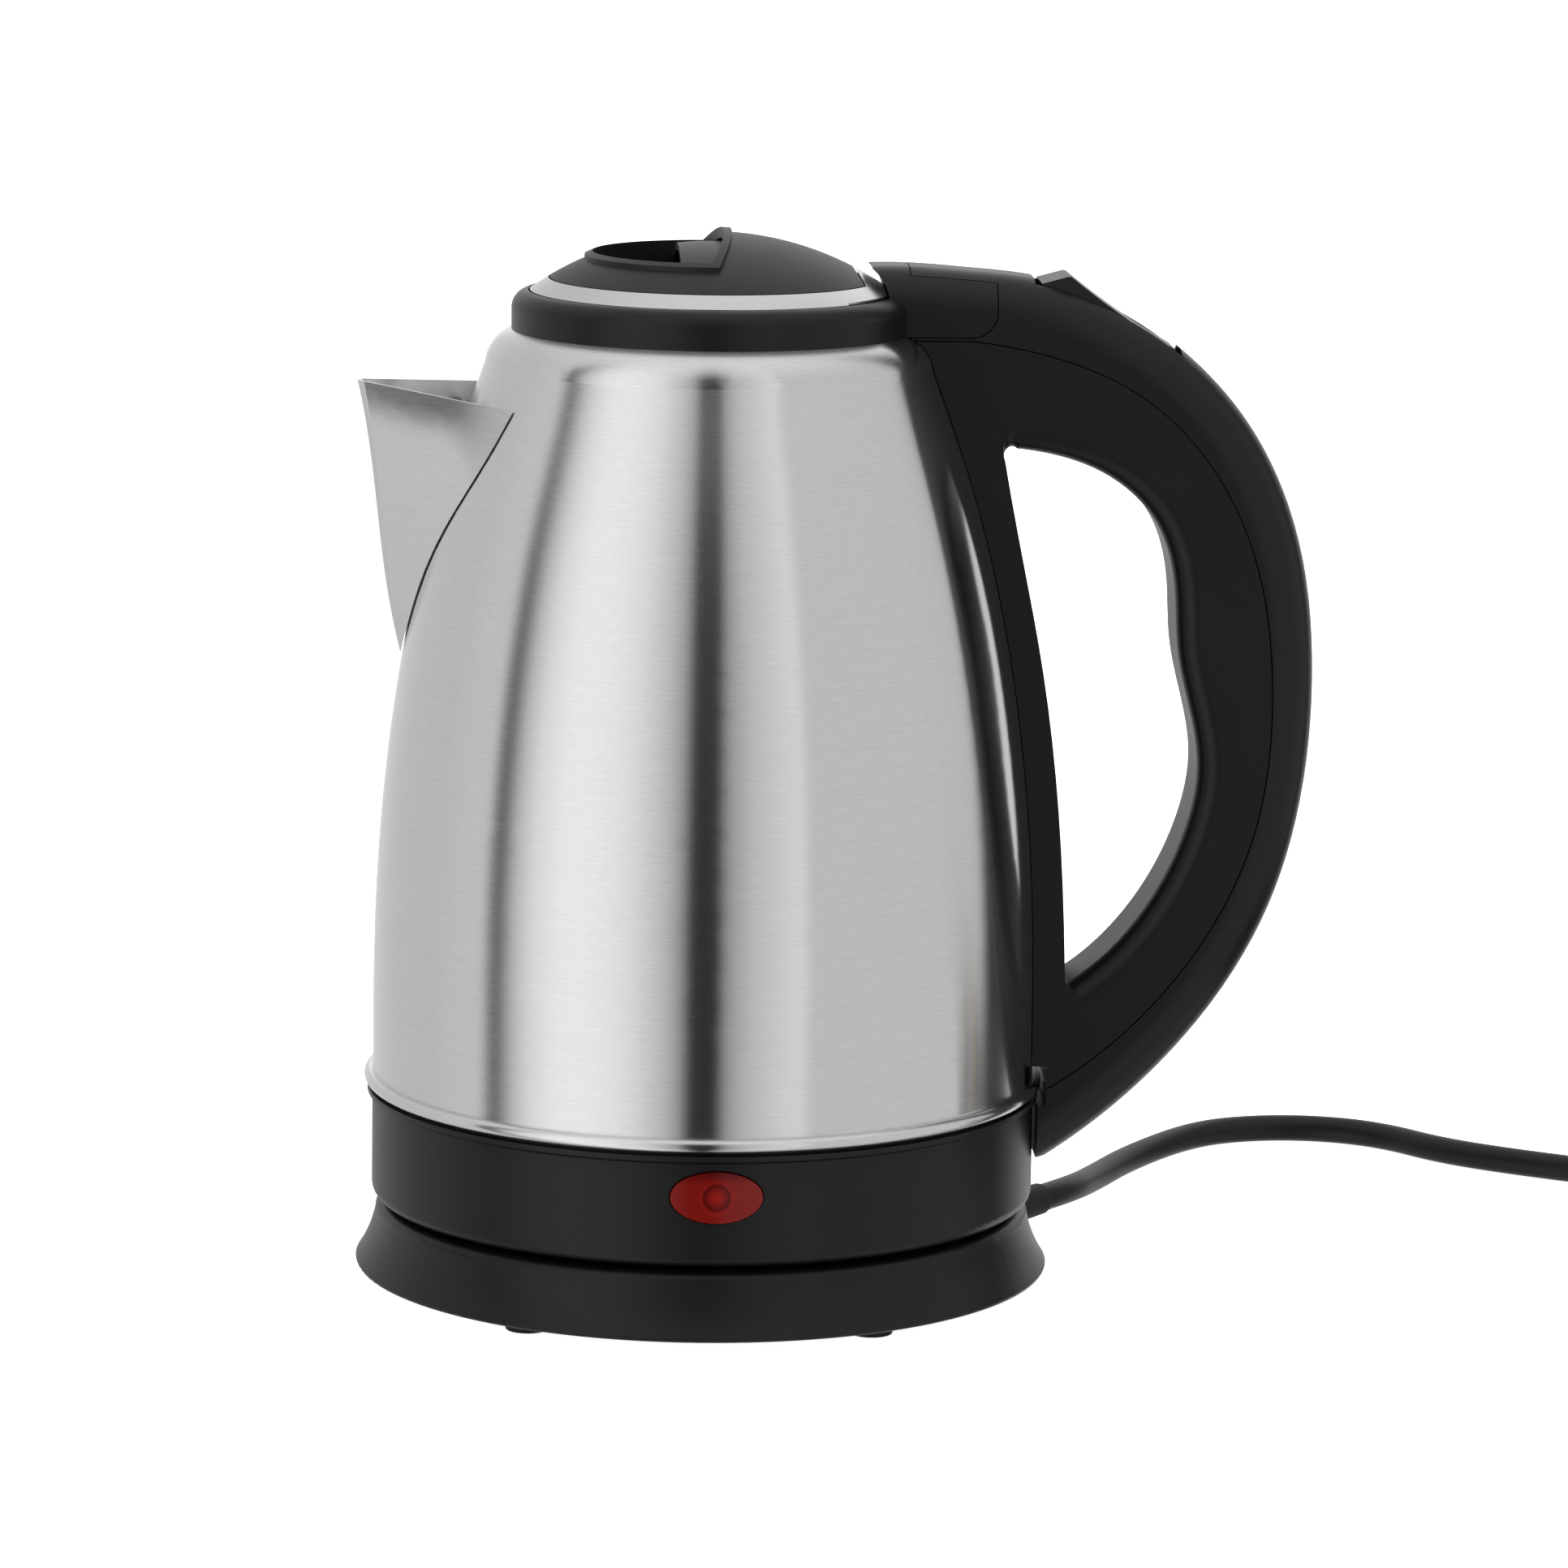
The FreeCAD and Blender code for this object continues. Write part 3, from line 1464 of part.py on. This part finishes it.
def plug_body():
    tail = plug_neck_len
    outline = [(tail, plug_tail_w / 2), (tail + plug_len * 0.45, plug_w / 2)]
    outline += [(tail + plug_len, plug_w / 2), (tail + plug_len, -plug_w / 2)]
    outline += [(tail + plug_len * 0.45, -plug_w / 2), (tail, -plug_tail_w / 2)]
    face = Part.Face(polygon([V(x, y, 0) for x, y in outline]))
    body = face.extrude(V(0, 0, plug_h))
    upright = [e for e in body.Edges if abs(e.Length - plug_h) < 1e-6]
    body = body.makeFillet(plug_corner_r, upright)
    flat = [e for e in body.Edges if abs(e.BoundBox.ZLength) < 1e-6]
    body = body.makeFillet(plug_edge, flat)
    neck_z0 = coil_end()[0].z
    neck = Part.makeCone(gland_small_r, plug_neck_r, plug_neck_len + 2, V(0, 0, neck_z0), EAST)
    body = fuse_all([body, neck])
    lead_end = Part.makeCylinder(cord_d / 2 + fit_gap, 2 * cord_d, V(touch_gap - 2 * cord_d, 0, neck_z0), EAST)
    body = body.cut(lead_end).cut(pin_boxes(touch_gap, plug_h - pin_root, 1))
    return on_plug(body.cut(fuse_box(touch_gap, plug_h - fuse_t)))


def plug_pins():
    return on_plug(group(pin_boxes(0, plug_h - pin_root, 0)))


def plug_fuse_cover():
    return on_plug(fuse_box(0, plug_h - fuse_t))


def build():
    whole = handle_solid()
    parts = {
        "base_cover": base_cover(),
        "base_plate": base_plate(),
        "base_feet": base_feet(),
        "base_screws": base_screws(),
        "base_socket": base_socket(),
        "base_contacts": base_contacts(),
        "cord_gland": cord_gland(),
        "cord_lead": cord_lead(),
        "cord_coil": cord_coil(),
        "cord_tie": cord_tie(),
        "plug_body": plug_body(),
        "plug_pins": plug_pins(),
        "plug_fuse_cover": plug_fuse_cover(),
        "contact_pin": contact_pin(),
        "body_shell": body_shell(),
        "spout": spout(),
        "floor_pan": floor_pan(),
        "heat_plate": heat_plate(),
        "heating_element": heating_element(),
        "element_terminals": element_terminals(),
        "control_unit": control_unit(),
        "thermal_discs": thermal_discs(),
        "kettle_connector": kettle_connector(),
        "kettle_contact_ring": kettle_contact_ring(),
        "floor_studs": floor_studs(),
        "bottom_cover": bottom_cover(),
        "bottom_screws": bottom_screws(),
        "bottom_shell": bottom_shell(),
        "indicator_lens": indicator_lens(),
        "neon_lamp": neon_lamp(),
        "top_collar": top_collar(whole),
        "hinge_pin": hinge_pin(),
        "handle_inner": handle_inner(whole),
        "handle_outer": handle_outer(whole),
        "handle_studs": handle_studs(),
        "handle_nuts": handle_nuts(),
        "steam_control": steam_control(),
        "steam_disc": steam_disc(),
        "switch_pin": switch_pin(),
        "lid_top": lid_top(),
        "lid_trim": lid_trim(),
        "lid_body": lid_body(),
        "lid_pan": lid_pan(),
        "lid_seal": lid_seal(),
        "lid_latch": lid_latch(),
        "latch_spring": latch_spring(),
        "switch_rocker": switch_rocker(),
    }
    os.makedirs("parts", exist_ok=True)
    for name, shape in parts.items():
        shape.exportStep("parts/" + name + ".step")
        box_now = shape.BoundBox
        print(name, shape.isValid(), len(shape.Solids), round(shape.Volume, 1),
              [round(v, 1) for v in (box_now.XMin, box_now.XMax, box_now.YMin, box_now.YMax,
                                     box_now.ZMin, box_now.ZMax)])


build()
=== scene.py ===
import bpy
import json
import math
from mathutils import Matrix, Vector


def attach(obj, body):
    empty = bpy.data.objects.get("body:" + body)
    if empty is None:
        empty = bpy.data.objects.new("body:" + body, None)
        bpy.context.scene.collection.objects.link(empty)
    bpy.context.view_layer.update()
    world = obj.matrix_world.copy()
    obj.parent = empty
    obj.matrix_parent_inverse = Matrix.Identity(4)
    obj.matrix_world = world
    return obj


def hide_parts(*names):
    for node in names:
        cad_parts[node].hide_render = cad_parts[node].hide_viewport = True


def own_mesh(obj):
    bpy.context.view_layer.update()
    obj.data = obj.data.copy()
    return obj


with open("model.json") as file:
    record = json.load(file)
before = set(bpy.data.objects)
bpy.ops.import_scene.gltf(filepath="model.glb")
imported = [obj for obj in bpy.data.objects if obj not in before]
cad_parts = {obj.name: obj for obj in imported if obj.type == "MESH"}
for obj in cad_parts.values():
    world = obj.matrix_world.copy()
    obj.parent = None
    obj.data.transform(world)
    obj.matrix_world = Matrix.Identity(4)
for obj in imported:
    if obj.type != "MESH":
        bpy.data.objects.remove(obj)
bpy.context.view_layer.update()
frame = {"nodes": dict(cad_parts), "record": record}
nodes = frame["nodes"]
scene = bpy.context.scene

# Camera: place, pitch, turn about the kettle and roll, fitted to the photograph
view = {"eye": (-0.0713, -1.5985, 0.3981), "pitch": 9.98, "turn": 3.2, "roll": 0.81,
        "lens": 160.68, "sensor": 36.0, "farEnd": 20}


def makeCamera():
    p, t, r = (math.radians(view[k]) for k in ("pitch", "turn", "roll"))
    right = Vector((math.cos(t), -math.sin(t), 0))
    look = Vector((math.cos(p) * math.sin(t), math.cos(p) * math.cos(t), -math.sin(p)))
    up = right.cross(look)
    rolledRight = right * math.cos(r) + up * math.sin(r)
    rolledUp = up * math.cos(r) - right * math.sin(r)
    data = bpy.data.cameras.new("camera")
    data.lens = view["lens"]
    data.sensor_width = view["sensor"]
    data.clip_end = view["farEnd"]
    cam = bpy.data.objects.new("camera", data)
    turn = Matrix((rolledRight, rolledUp, -look)).transposed().to_4x4()
    cam.matrix_world = Matrix.Translation(view["eye"]) @ turn
    scene.collection.objects.link(cam)
    scene.camera = cam


makeCamera()
print("camera done")


# Shader helpers

def newMaterial(name):
    mat = bpy.data.materials.new(name)
    mat.use_nodes = True
    return mat, mat.node_tree, mat.node_tree.nodes["Principled BSDF"]


def newGroup(name, inputs, outputs):
    tree = bpy.data.node_groups.new(name, "ShaderNodeTree")
    for label, kind, value in inputs:
        sock = tree.interface.new_socket(label, in_out="INPUT", socket_type=kind)
        if value is not None:
            sock.default_value = value
    for label, kind in outputs:
        tree.interface.new_socket(label, in_out="OUTPUT", socket_type=kind)
    return tree, tree.nodes.new("NodeGroupInput"), tree.nodes.new("NodeGroupOutput")


def math2(tree, op, a, b=None):
    node = tree.nodes.new("ShaderNodeMath")
    node.operation = op
    for i, value in enumerate((a, b)):
        if value is None:
            continue
        if isinstance(value, (int, float)):
            node.inputs[i].default_value = value
        else:
            tree.links.new(value, node.inputs[i])
    return node.outputs[0]


def useGroup(tree, group, **values):
    node = tree.nodes.new("ShaderNodeGroup")
    node.node_tree = group
    for key, value in values.items():
        node.inputs[key].default_value = value
    return node


def noiseAt(tree, vector, scale, detail=3.0, rough=0.55):
    node = tree.nodes.new("ShaderNodeTexNoise")
    node.inputs["Scale"].default_value = scale
    node.inputs["Detail"].default_value = detail
    node.inputs["Roughness"].default_value = rough
    tree.links.new(vector, node.inputs["Vector"])
    return node.outputs["Fac"]


def mapRange(tree, value, low, high, toLow, toHigh):
    node = tree.nodes.new("ShaderNodeMapRange")
    tree.links.new(value, node.inputs["Value"])
    for key, number in (("From Min", low), ("From Max", high), ("To Min", toLow), ("To Max", toHigh)):
        node.inputs[key].default_value = number
    return node.outputs["Result"]


def mixColour(tree, factor, first, second):
    node = tree.nodes.new("ShaderNodeMix")
    node.data_type = "RGBA"
    tree.links.new(factor, node.inputs["Factor"])
    for key, colour in (("A", first), ("B", second)):
        if isinstance(colour, tuple):
            node.inputs[key].default_value = (*colour, 1)
        else:
            tree.links.new(colour, node.inputs[key])
    return node.outputs["Result"]


def rampOf(tree, value, rows):
    node = tree.nodes.new("ShaderNodeValToRGB")
    tree.links.new(value, node.inputs["Fac"])
    stops = node.color_ramp.elements
    while len(stops) < len(rows):
        stops.new(0.5)
    for stop, (position, colour) in zip(stops, rows):
        stop.position = position
        stop.color = (*colour, 1)
    return node.outputs["Color"]


def bumpOf(tree, height, strength, distance):
    node = tree.nodes.new("ShaderNodeBump")
    node.inputs["Distance"].default_value = distance
    tree.links.new(height, node.inputs["Height"])
    tree.links.new(strength, node.inputs["Strength"])
    return node.outputs["Normal"]


def objectAxes(tree):
    split = tree.nodes.new("ShaderNodeSeparateXYZ")
    tree.links.new(tree.nodes.new("ShaderNodeTexCoord").outputs["Object"], split.inputs[0])
    return split.outputs


def isCamera(tree):
    return tree.nodes.new("ShaderNodeLightPath").outputs["Is Camera Ray"]


# Moulded texture: scale and detail of its two noises, and the height of its bumps in metres
mould = {"cloud": (38.0, 3.0), "fine": (2600.0, 2.0), "bump": 0.00008}


# Roughness that drifts and a fine bumped normal, from noise at two scales
def mouldGroup():
    tree, gin, gout = newGroup(
        "mouldedSkin",
        [("Rough", "NodeSocketFloat", 0.4), ("Spread", "NodeSocketFloat", 0.06),
         ("Grain", "NodeSocketFloat", 0.02)],
        [("Roughness", "NodeSocketFloat"), ("Normal", "NodeSocketVector"), ("Cloud", "NodeSocketFloat")])
    coord = tree.nodes.new("ShaderNodeTexCoord").outputs["Object"]
    cloud = noiseAt(tree, coord, *mould["cloud"])
    fine = noiseAt(tree, coord, *mould["fine"])
    shift = math2(tree, "MULTIPLY", math2(tree, "SUBTRACT", cloud, 0.5), gin.outputs["Spread"])
    tree.links.new(math2(tree, "ADD", gin.outputs["Rough"], shift), gout.inputs["Roughness"])
    tree.links.new(bumpOf(tree, fine, gin.outputs["Grain"], mould["bump"]), gout.inputs["Normal"])
    tree.links.new(cloud, gout.inputs["Cloud"])
    return tree


# Brushing: reach round the axis and per metre of height, scale, detail and roughness of the long and the
# short streaks, how much finer the short ones are, the share of each, and the depth of the bumps in metres
brushing = {"round": 0.35, "height": 260.0, "long": (9.0, 6.0, 0.7), "short": (9.0, 3.0, 0.6),
            "finer": (7.0, 7.0, 2.6), "longShare": 0.35, "shortShare": 0.65, "bump": 0.00005,
            "span": (0.3, 0.7)}


# Streaks round the Z axis: noise in angle and height, long round the axis and fine in height
def brushGroup():
    tree, gin, gout = newGroup(
        "brushedRound", [("Depth", "NodeSocketFloat", 0.1)],
        [("Streak", "NodeSocketFloat"), ("Normal", "NodeSocketVector")])
    axes = objectAxes(tree)
    angle = math2(tree, "ARCTAN2", axes["Y"], axes["X"])
    join = tree.nodes.new("ShaderNodeCombineXYZ")
    for key, turn in (("X", "COSINE"), ("Y", "SINE")):
        tree.links.new(math2(tree, "MULTIPLY", math2(tree, turn, angle), brushing["round"]), join.inputs[key])
    tree.links.new(math2(tree, "MULTIPLY", axes["Z"], brushing["height"]), join.inputs["Z"])
    finer = tree.nodes.new("ShaderNodeVectorMath")
    finer.operation = "MULTIPLY"
    finer.inputs[1].default_value = brushing["finer"]
    tree.links.new(join.outputs[0], finer.inputs[0])
    longNoise = noiseAt(tree, join.outputs[0], *brushing["long"])
    shortNoise = noiseAt(tree, finer.outputs[0], *brushing["short"])
    streak = math2(tree, "ADD", math2(tree, "MULTIPLY", longNoise, brushing["longShare"]),
                   math2(tree, "MULTIPLY", shortNoise, brushing["shortShare"]))
    tree.links.new(streak, gout.inputs["Streak"])
    tree.links.new(bumpOf(tree, streak, gin.outputs["Depth"], brushing["bump"]), gout.inputs["Normal"])
    return tree


skin = mouldGroup()
brush = brushGroup()


def shaded(colour, factor):
    return tuple(min(c * factor, 1) for c in colour)


# Sheen is the strength of the reflection, tint how far the colour drifts
def plastic(name, colour, rough, grain, spread=0.08, sheen=0.3, tint=0.15):
    mat, tree, shader = newMaterial(name)
    part = useGroup(tree, skin, Rough=rough, Spread=spread, Grain=grain)
    tree.links.new(part.outputs["Roughness"], shader.inputs["Roughness"])
    tree.links.new(part.outputs["Normal"], shader.inputs["Normal"])
    tone = mixColour(tree, part.outputs["Cloud"], shaded(colour, 1 - tint), shaded(colour, 1 + tint))
    tree.links.new(tone, shader.inputs["Base Color"])
    shader.inputs["Specular IOR Level"].default_value = sheen
    return mat


# Depth is that of the brushing, spread and shade how far it moves the roughness and the colour
def metal(name, colour, rough, aniso=0.0, depth=0.1, spread=0.12, shade=0.05):
    mat, tree, shader = newMaterial(name)
    part = useGroup(tree, brush, Depth=depth)
    streak = part.outputs["Streak"]
    low, high = brushing["span"]
    shader.inputs["Metallic"].default_value = 1.0
    tree.links.new(part.outputs["Normal"], shader.inputs["Normal"])
    tree.links.new(mapRange(tree, streak, low, high, rough - spread / 2, rough + spread / 2),
                   shader.inputs["Roughness"])
    tone = mixColour(tree, mapRange(tree, streak, low, high, 0, 1),
                     shaded(colour, 1 - shade), shaded(colour, 1 + shade))
    tree.links.new(tone, shader.inputs["Base Color"])
    if aniso:
        shader.inputs["Anisotropic"].default_value = aniso
        shader.inputs["Anisotropic Rotation"].default_value = 0.25
        tangent = tree.nodes.new("ShaderNodeTangent")
        tangent.direction_type = "RADIAL"
        tangent.axis = "Z"
        tree.links.new(tangent.outputs["Tangent"], shader.inputs["Tangent"])
    return mat


# Lens: middle in metres, red tones by distance from it in millimetres, which draw the ring of the lamp
# inside, shares of green and blue in them, and the band of painted shade that darkens it towards the top edge
lens = {"middle": (0.0, 0.0361), "reach": 6.0, "greenBlue": (0.035, 0.025),
        "tones": [(0.0, 0.20), (0.9, 0.19), (1.5, 0.15), (2.3, 0.10), (2.8, 0.07), (3.1, 0.08),
                  (3.4, 0.17), (4.6, 0.14)],
        "topShadeBand": (0.0030, 0.0052), "topShadeLevel": 0.5, "rough": 0.12, "spread": 0.03, "sheen": 0.3}


def lensLook():
    mat, tree, shader = newMaterial("lensRed")
    axes = objectAxes(tree)
    across = math2(tree, "SUBTRACT", axes["X"], lens["middle"][0])
    rise = math2(tree, "SUBTRACT", axes["Z"], lens["middle"][1])
    square = math2(tree, "ADD", math2(tree, "MULTIPLY", across, across), math2(tree, "MULTIPLY", rise, rise))
    away = mapRange(tree, math2(tree, "SQRT", square), 0, lens["reach"] / 1000, 0, 1)
    green, blue = lens["greenBlue"]
    rows = [(distance / lens["reach"], (red, red * green, red * blue)) for distance, red in lens["tones"]]
    dim = tree.nodes.new("ShaderNodeVectorMath")
    dim.operation = "SCALE"
    tree.links.new(rampOf(tree, away, rows), dim.inputs[0])
    # painted shade: the lens colour is darkened towards its top edge
    tree.links.new(mapRange(tree, rise, *lens["topShadeBand"], 1, lens["topShadeLevel"]), dim.inputs["Scale"])
    tree.links.new(dim.outputs[0], shader.inputs["Base Color"])
    part = useGroup(tree, skin, Rough=lens["rough"], Spread=lens["spread"])
    tree.links.new(part.outputs["Roughness"], shader.inputs["Roughness"])
    shader.inputs["Specular IOR Level"].default_value = lens["sheen"]
    return mat


# One look for each material slot of the record
looks = {
    "steel_brushed": metal("steelBrushed", (0.79, 0.79, 0.788), 0.20, 1.0, 0.05, 0.04, 0.075),
    "steel_plain": metal("steelPlain", (0.70, 0.70, 0.69), 0.30, 0.0, 0.05),
    "trim_bright": metal("trimBright", (0.70, 0.70, 0.69), 0.24, 0.0, 0.02, 0.05),
    "plastic_black": plastic("plasticBlack", (0.0045, 0.0045, 0.0048), 0.34, 0.08),
    "plastic_lid": plastic("plasticLid", (0.008, 0.008, 0.0085), 0.42, 0.12),
    "plastic_gloss": plastic("plasticGloss", (0.008, 0.008, 0.0085), 0.34, 0.04, sheen=0.35),
    "plastic_inner": plastic("plasticInner", (0.06, 0.06, 0.06), 0.48, 0.12),
    "lens_red": lensLook(),
    "lamp_glass": plastic("lampGlass", (0.55, 0.42, 0.34), 0.10, 0.0),
    "aluminium": metal("aluminium", (0.80, 0.80, 0.80), 0.40, 0.0, 0.1),
    "brass": metal("brass", (0.80, 0.60, 0.28), 0.28, 0.0, 0.06),
    "rubber_black": plastic("rubberBlack", (0.014, 0.014, 0.014), 0.62, 0.2),
    "silicone_grey": plastic("siliconeGrey", (0.30, 0.30, 0.30), 0.55, 0.1),
    "cord_black": plastic("cordBlack", (0.006, 0.006, 0.0062), 0.42, 0.14),
}

slotOf = {row["node"]: row["material_slot"] for row in frame["record"]["subparts"]}
for name, obj in nodes.items():
    for slot in obj.material_slots:
        slot.material = looks[slotOf[name]]
print("materials done")

# Mains lead in millimetres: the route from the base's strain relief, then the coil by its turns, with a
# straight tail that is counted in thicknesses of the lead
lead = {"route": [(83.6, 44.5, 7.0), (91.5, 54.0, 7.0), (99.3, 76.6, 4.2), (111.5, 104.0, 3.4),
                  (130.0, 130.2, 3.4), (145.7, 138.2, 3.4), (163.3, 138.2, 3.4), (179.0, 130.2, 3.4),
                  (192.0, 112.3, 3.4), (211.4, 98.2, 3.4), (233.9, 85.2, 3.4), (257.0, 78.0, 3.8),
                  (275.0, 74.9, 4.6), (292.9, 72.7, 4.6)],
        "across": 6.6, "coilR": 40.5, "pitch": 7.6, "layer": 7.2, "turns": 2.5, "perTurn": 24, "tail": 2.0}


# Coil point at turn t: r falls and rises by pitch per turn, z climbs a layer in the middle half turn
def coilPoint(t, centre, start):
    middle = lead["turns"] * math.pi
    rate = lead["pitch"] / (2 * math.pi)
    off = abs(t - middle)
    least = lead["coilR"] - rate * middle
    share = off / (math.pi / 2)
    r = least + rate * off if share > 1 else least + rate * math.pi / 4 * (share * share + 1)
    climb = min(max((t - middle) / math.pi + 0.5, 0), 1)
    z = lead["route"][-1][2] + lead["layer"] * climb * climb * (3 - 2 * climb)
    return Vector((centre.x + r * math.cos(start - t), centre.y + r * math.sin(start - t), z))


def makeCord():
    points = [Vector(p) for p in lead["route"]]
    ahead = (points[-1] - points[-2]).normalized()
    lean = math.atan(lead["pitch"] / (2 * math.pi) / lead["coilR"])
    start = math.atan2(ahead.y, ahead.x) + math.pi / 2 + lean
    begin = points[-1] + ahead * lead["across"]
    centre = begin - Vector((math.cos(start), math.sin(start), 0)) * lead["coilR"]
    count = int(lead["turns"] * lead["perTurn"])
    step = 2 * math.pi / lead["perTurn"]
    coil = [coilPoint(i * step, centre, start) for i in range(count + 1)]
    last = (coil[-1] - coil[-2]).normalized()
    last = Vector((last.x, last.y, 0)).normalized()
    points += coil + [coil[-1] + last * lead["across"] * lead["tail"]]
    curve = bpy.data.curves.new("cordLead", "CURVE")
    curve.dimensions = "3D"
    curve.bevel_depth = lead["across"] / 2000
    curve.bevel_resolution = 8
    curve.resolution_u = 6
    curve.use_fill_caps = True
    spline = curve.splines.new("NURBS")
    spline.points.add(len(points) - 1)
    for row, p in zip(spline.points, points):
        row.co = (p.x / 1000, p.y / 1000, p.z / 1000, 1)
    spline.order_u = 3
    spline.use_endpoint_u = True
    cord = bpy.data.objects.new("cordLead", curve)
    scene.collection.objects.link(cord)
    curve.materials.append(looks["cord_black"])
    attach(cord, "base")
    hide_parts("cord_lead", "cord_coil")


makeCord()
print("cord done")


def makeSpring():
    solid = nodes["latch_spring"]
    coil = bpy.data.objects.new("latchSpring", solid.data.copy())
    coil.matrix_world = solid.matrix_world
    scene.collection.objects.link(coil)
    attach(coil, "lid")
    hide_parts("latch_spring")
    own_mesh(coil)


makeSpring()
print("spring done")

# Studio: a white room whose grey bands by compass direction show in the steel, and a plain top
studio = {"bands": [(-180, 0.95), (-168, 0.66), (-140, 0.58), (-112, 0.57), (-95, 0.62), (-86, 0.62),
                    (-81, 0.12), (-78, 0.12), (-72, 0.58), (-65, 0.84), (-54, 1.0), (-44, 1.0), (-34, 0.92),
                    (-28, 0.84), (-22, 0.70), (-16, 0.56), (-11, 0.36), (-7, 0.02), (1.5, 0.02), (6, 0.36),
                    (12, 0.54), (23, 0.70), (32, 0.80), (35, 0.60), (108, 0.60), (114, 0.05), (127, 0.05),
                    (132, 0.60), (150, 0.95), (180, 0.95)],
          "top": 0.80, "topBlend": (0.55, 0.95), "strength": 1.03}


def makeWorld():
    world = bpy.data.worlds.new("studio")
    scene.world = world
    world.use_nodes = True
    tree = world.node_tree
    tree.nodes.clear()
    split = tree.nodes.new("ShaderNodeSeparateXYZ")
    tree.links.new(tree.nodes.new("ShaderNodeTexCoord").outputs["Generated"], split.inputs[0])
    flip = math2(tree, "MULTIPLY", split.outputs["Y"], -1.0)
    angle = math2(tree, "ARCTAN2", split.outputs["X"], flip)
    share = mapRange(tree, angle, -math.pi, math.pi, 0, 1)
    rows = [((degrees + 180) / 360, (level,) * 3) for degrees, level in studio["bands"]]
    bands = rampOf(tree, share, rows)
    high = mapRange(tree, split.outputs["Z"], *studio["topBlend"], 0, 1)
    room = tree.nodes.new("ShaderNodeBackground")
    tree.links.new(mixColour(tree, high, bands, (studio["top"],) * 3), room.inputs["Color"])
    room.inputs["Strength"].default_value = studio["strength"]
    white = tree.nodes.new("ShaderNodeBackground")
    white.inputs["Color"].default_value = (1, 1, 1, 1)
    mix = tree.nodes.new("ShaderNodeMixShader")
    tree.links.new(isCamera(tree), mix.inputs["Fac"])
    tree.links.new(room.outputs[0], mix.inputs[1])
    tree.links.new(white.outputs[0], mix.inputs[2])
    tree.links.new(mix.outputs[0], tree.nodes.new("ShaderNodeOutputWorld").inputs["Surface"])


# Floor: half its side in metres, grey, and a glow that only the camera sees, so that it stays white
ground = {"half": 6.0, "grey": 0.9, "rough": 0.6, "sheen": 0.2, "glow": 0.95}


def makeFloor():
    half = ground["half"]
    corners = [(-half, -half, 0), (half, -half, 0), (half, half, 0), (-half, half, 0)]
    mesh = bpy.data.meshes.new("floor")
    mesh.from_pydata(corners, [], [(0, 1, 2, 3)])
    floor = bpy.data.objects.new("floor", mesh)
    scene.collection.objects.link(floor)
    mat, tree, shader = newMaterial("floorWhite")
    shader.inputs["Base Color"].default_value = (ground["grey"],) * 3 + (1,)
    shader.inputs["Roughness"].default_value = ground["rough"]
    shader.inputs["Specular IOR Level"].default_value = ground["sheen"]
    shader.inputs["Emission Color"].default_value = (1, 1, 1, 1)
    glow = math2(tree, "MULTIPLY", isCamera(tree), ground["glow"])
    tree.links.new(glow, shader.inputs["Emission Strength"])
    mesh.materials.append(mat)
    floor.visible_glossy = False


# Soft lights: name, place, aim and size in metres, and power in watts
lights = [("topBox", (0.0, -0.25, 1.5), (0, 0, 0.1), (1.6, 1.2), 16),
          ("leftBox", (-1.3, -0.9, 0.8), (0, 0, 0.12), (0.6, 1.2), 7),
          ("rightBox", (1.4, -1.0, 0.7), (0, 0, 0.12), (0.4, 1.0), 4)]


def areaLight(name, place, aim, size, power):
    data = bpy.data.lights.new(name, "AREA")
    data.shape = "RECTANGLE"
    data.size, data.size_y = size
    data.energy = power
    light = bpy.data.objects.new(name, data)
    light.location = place
    light.rotation_euler = (Vector(aim) - Vector(place)).to_track_quat("-Z", "Y").to_euler()
    light.visible_glossy = False
    scene.collection.objects.link(light)


makeWorld()
makeFloor()
for row in lights:
    areaLight(*row)
scene.view_settings.view_transform = "Standard"
print("studio done")
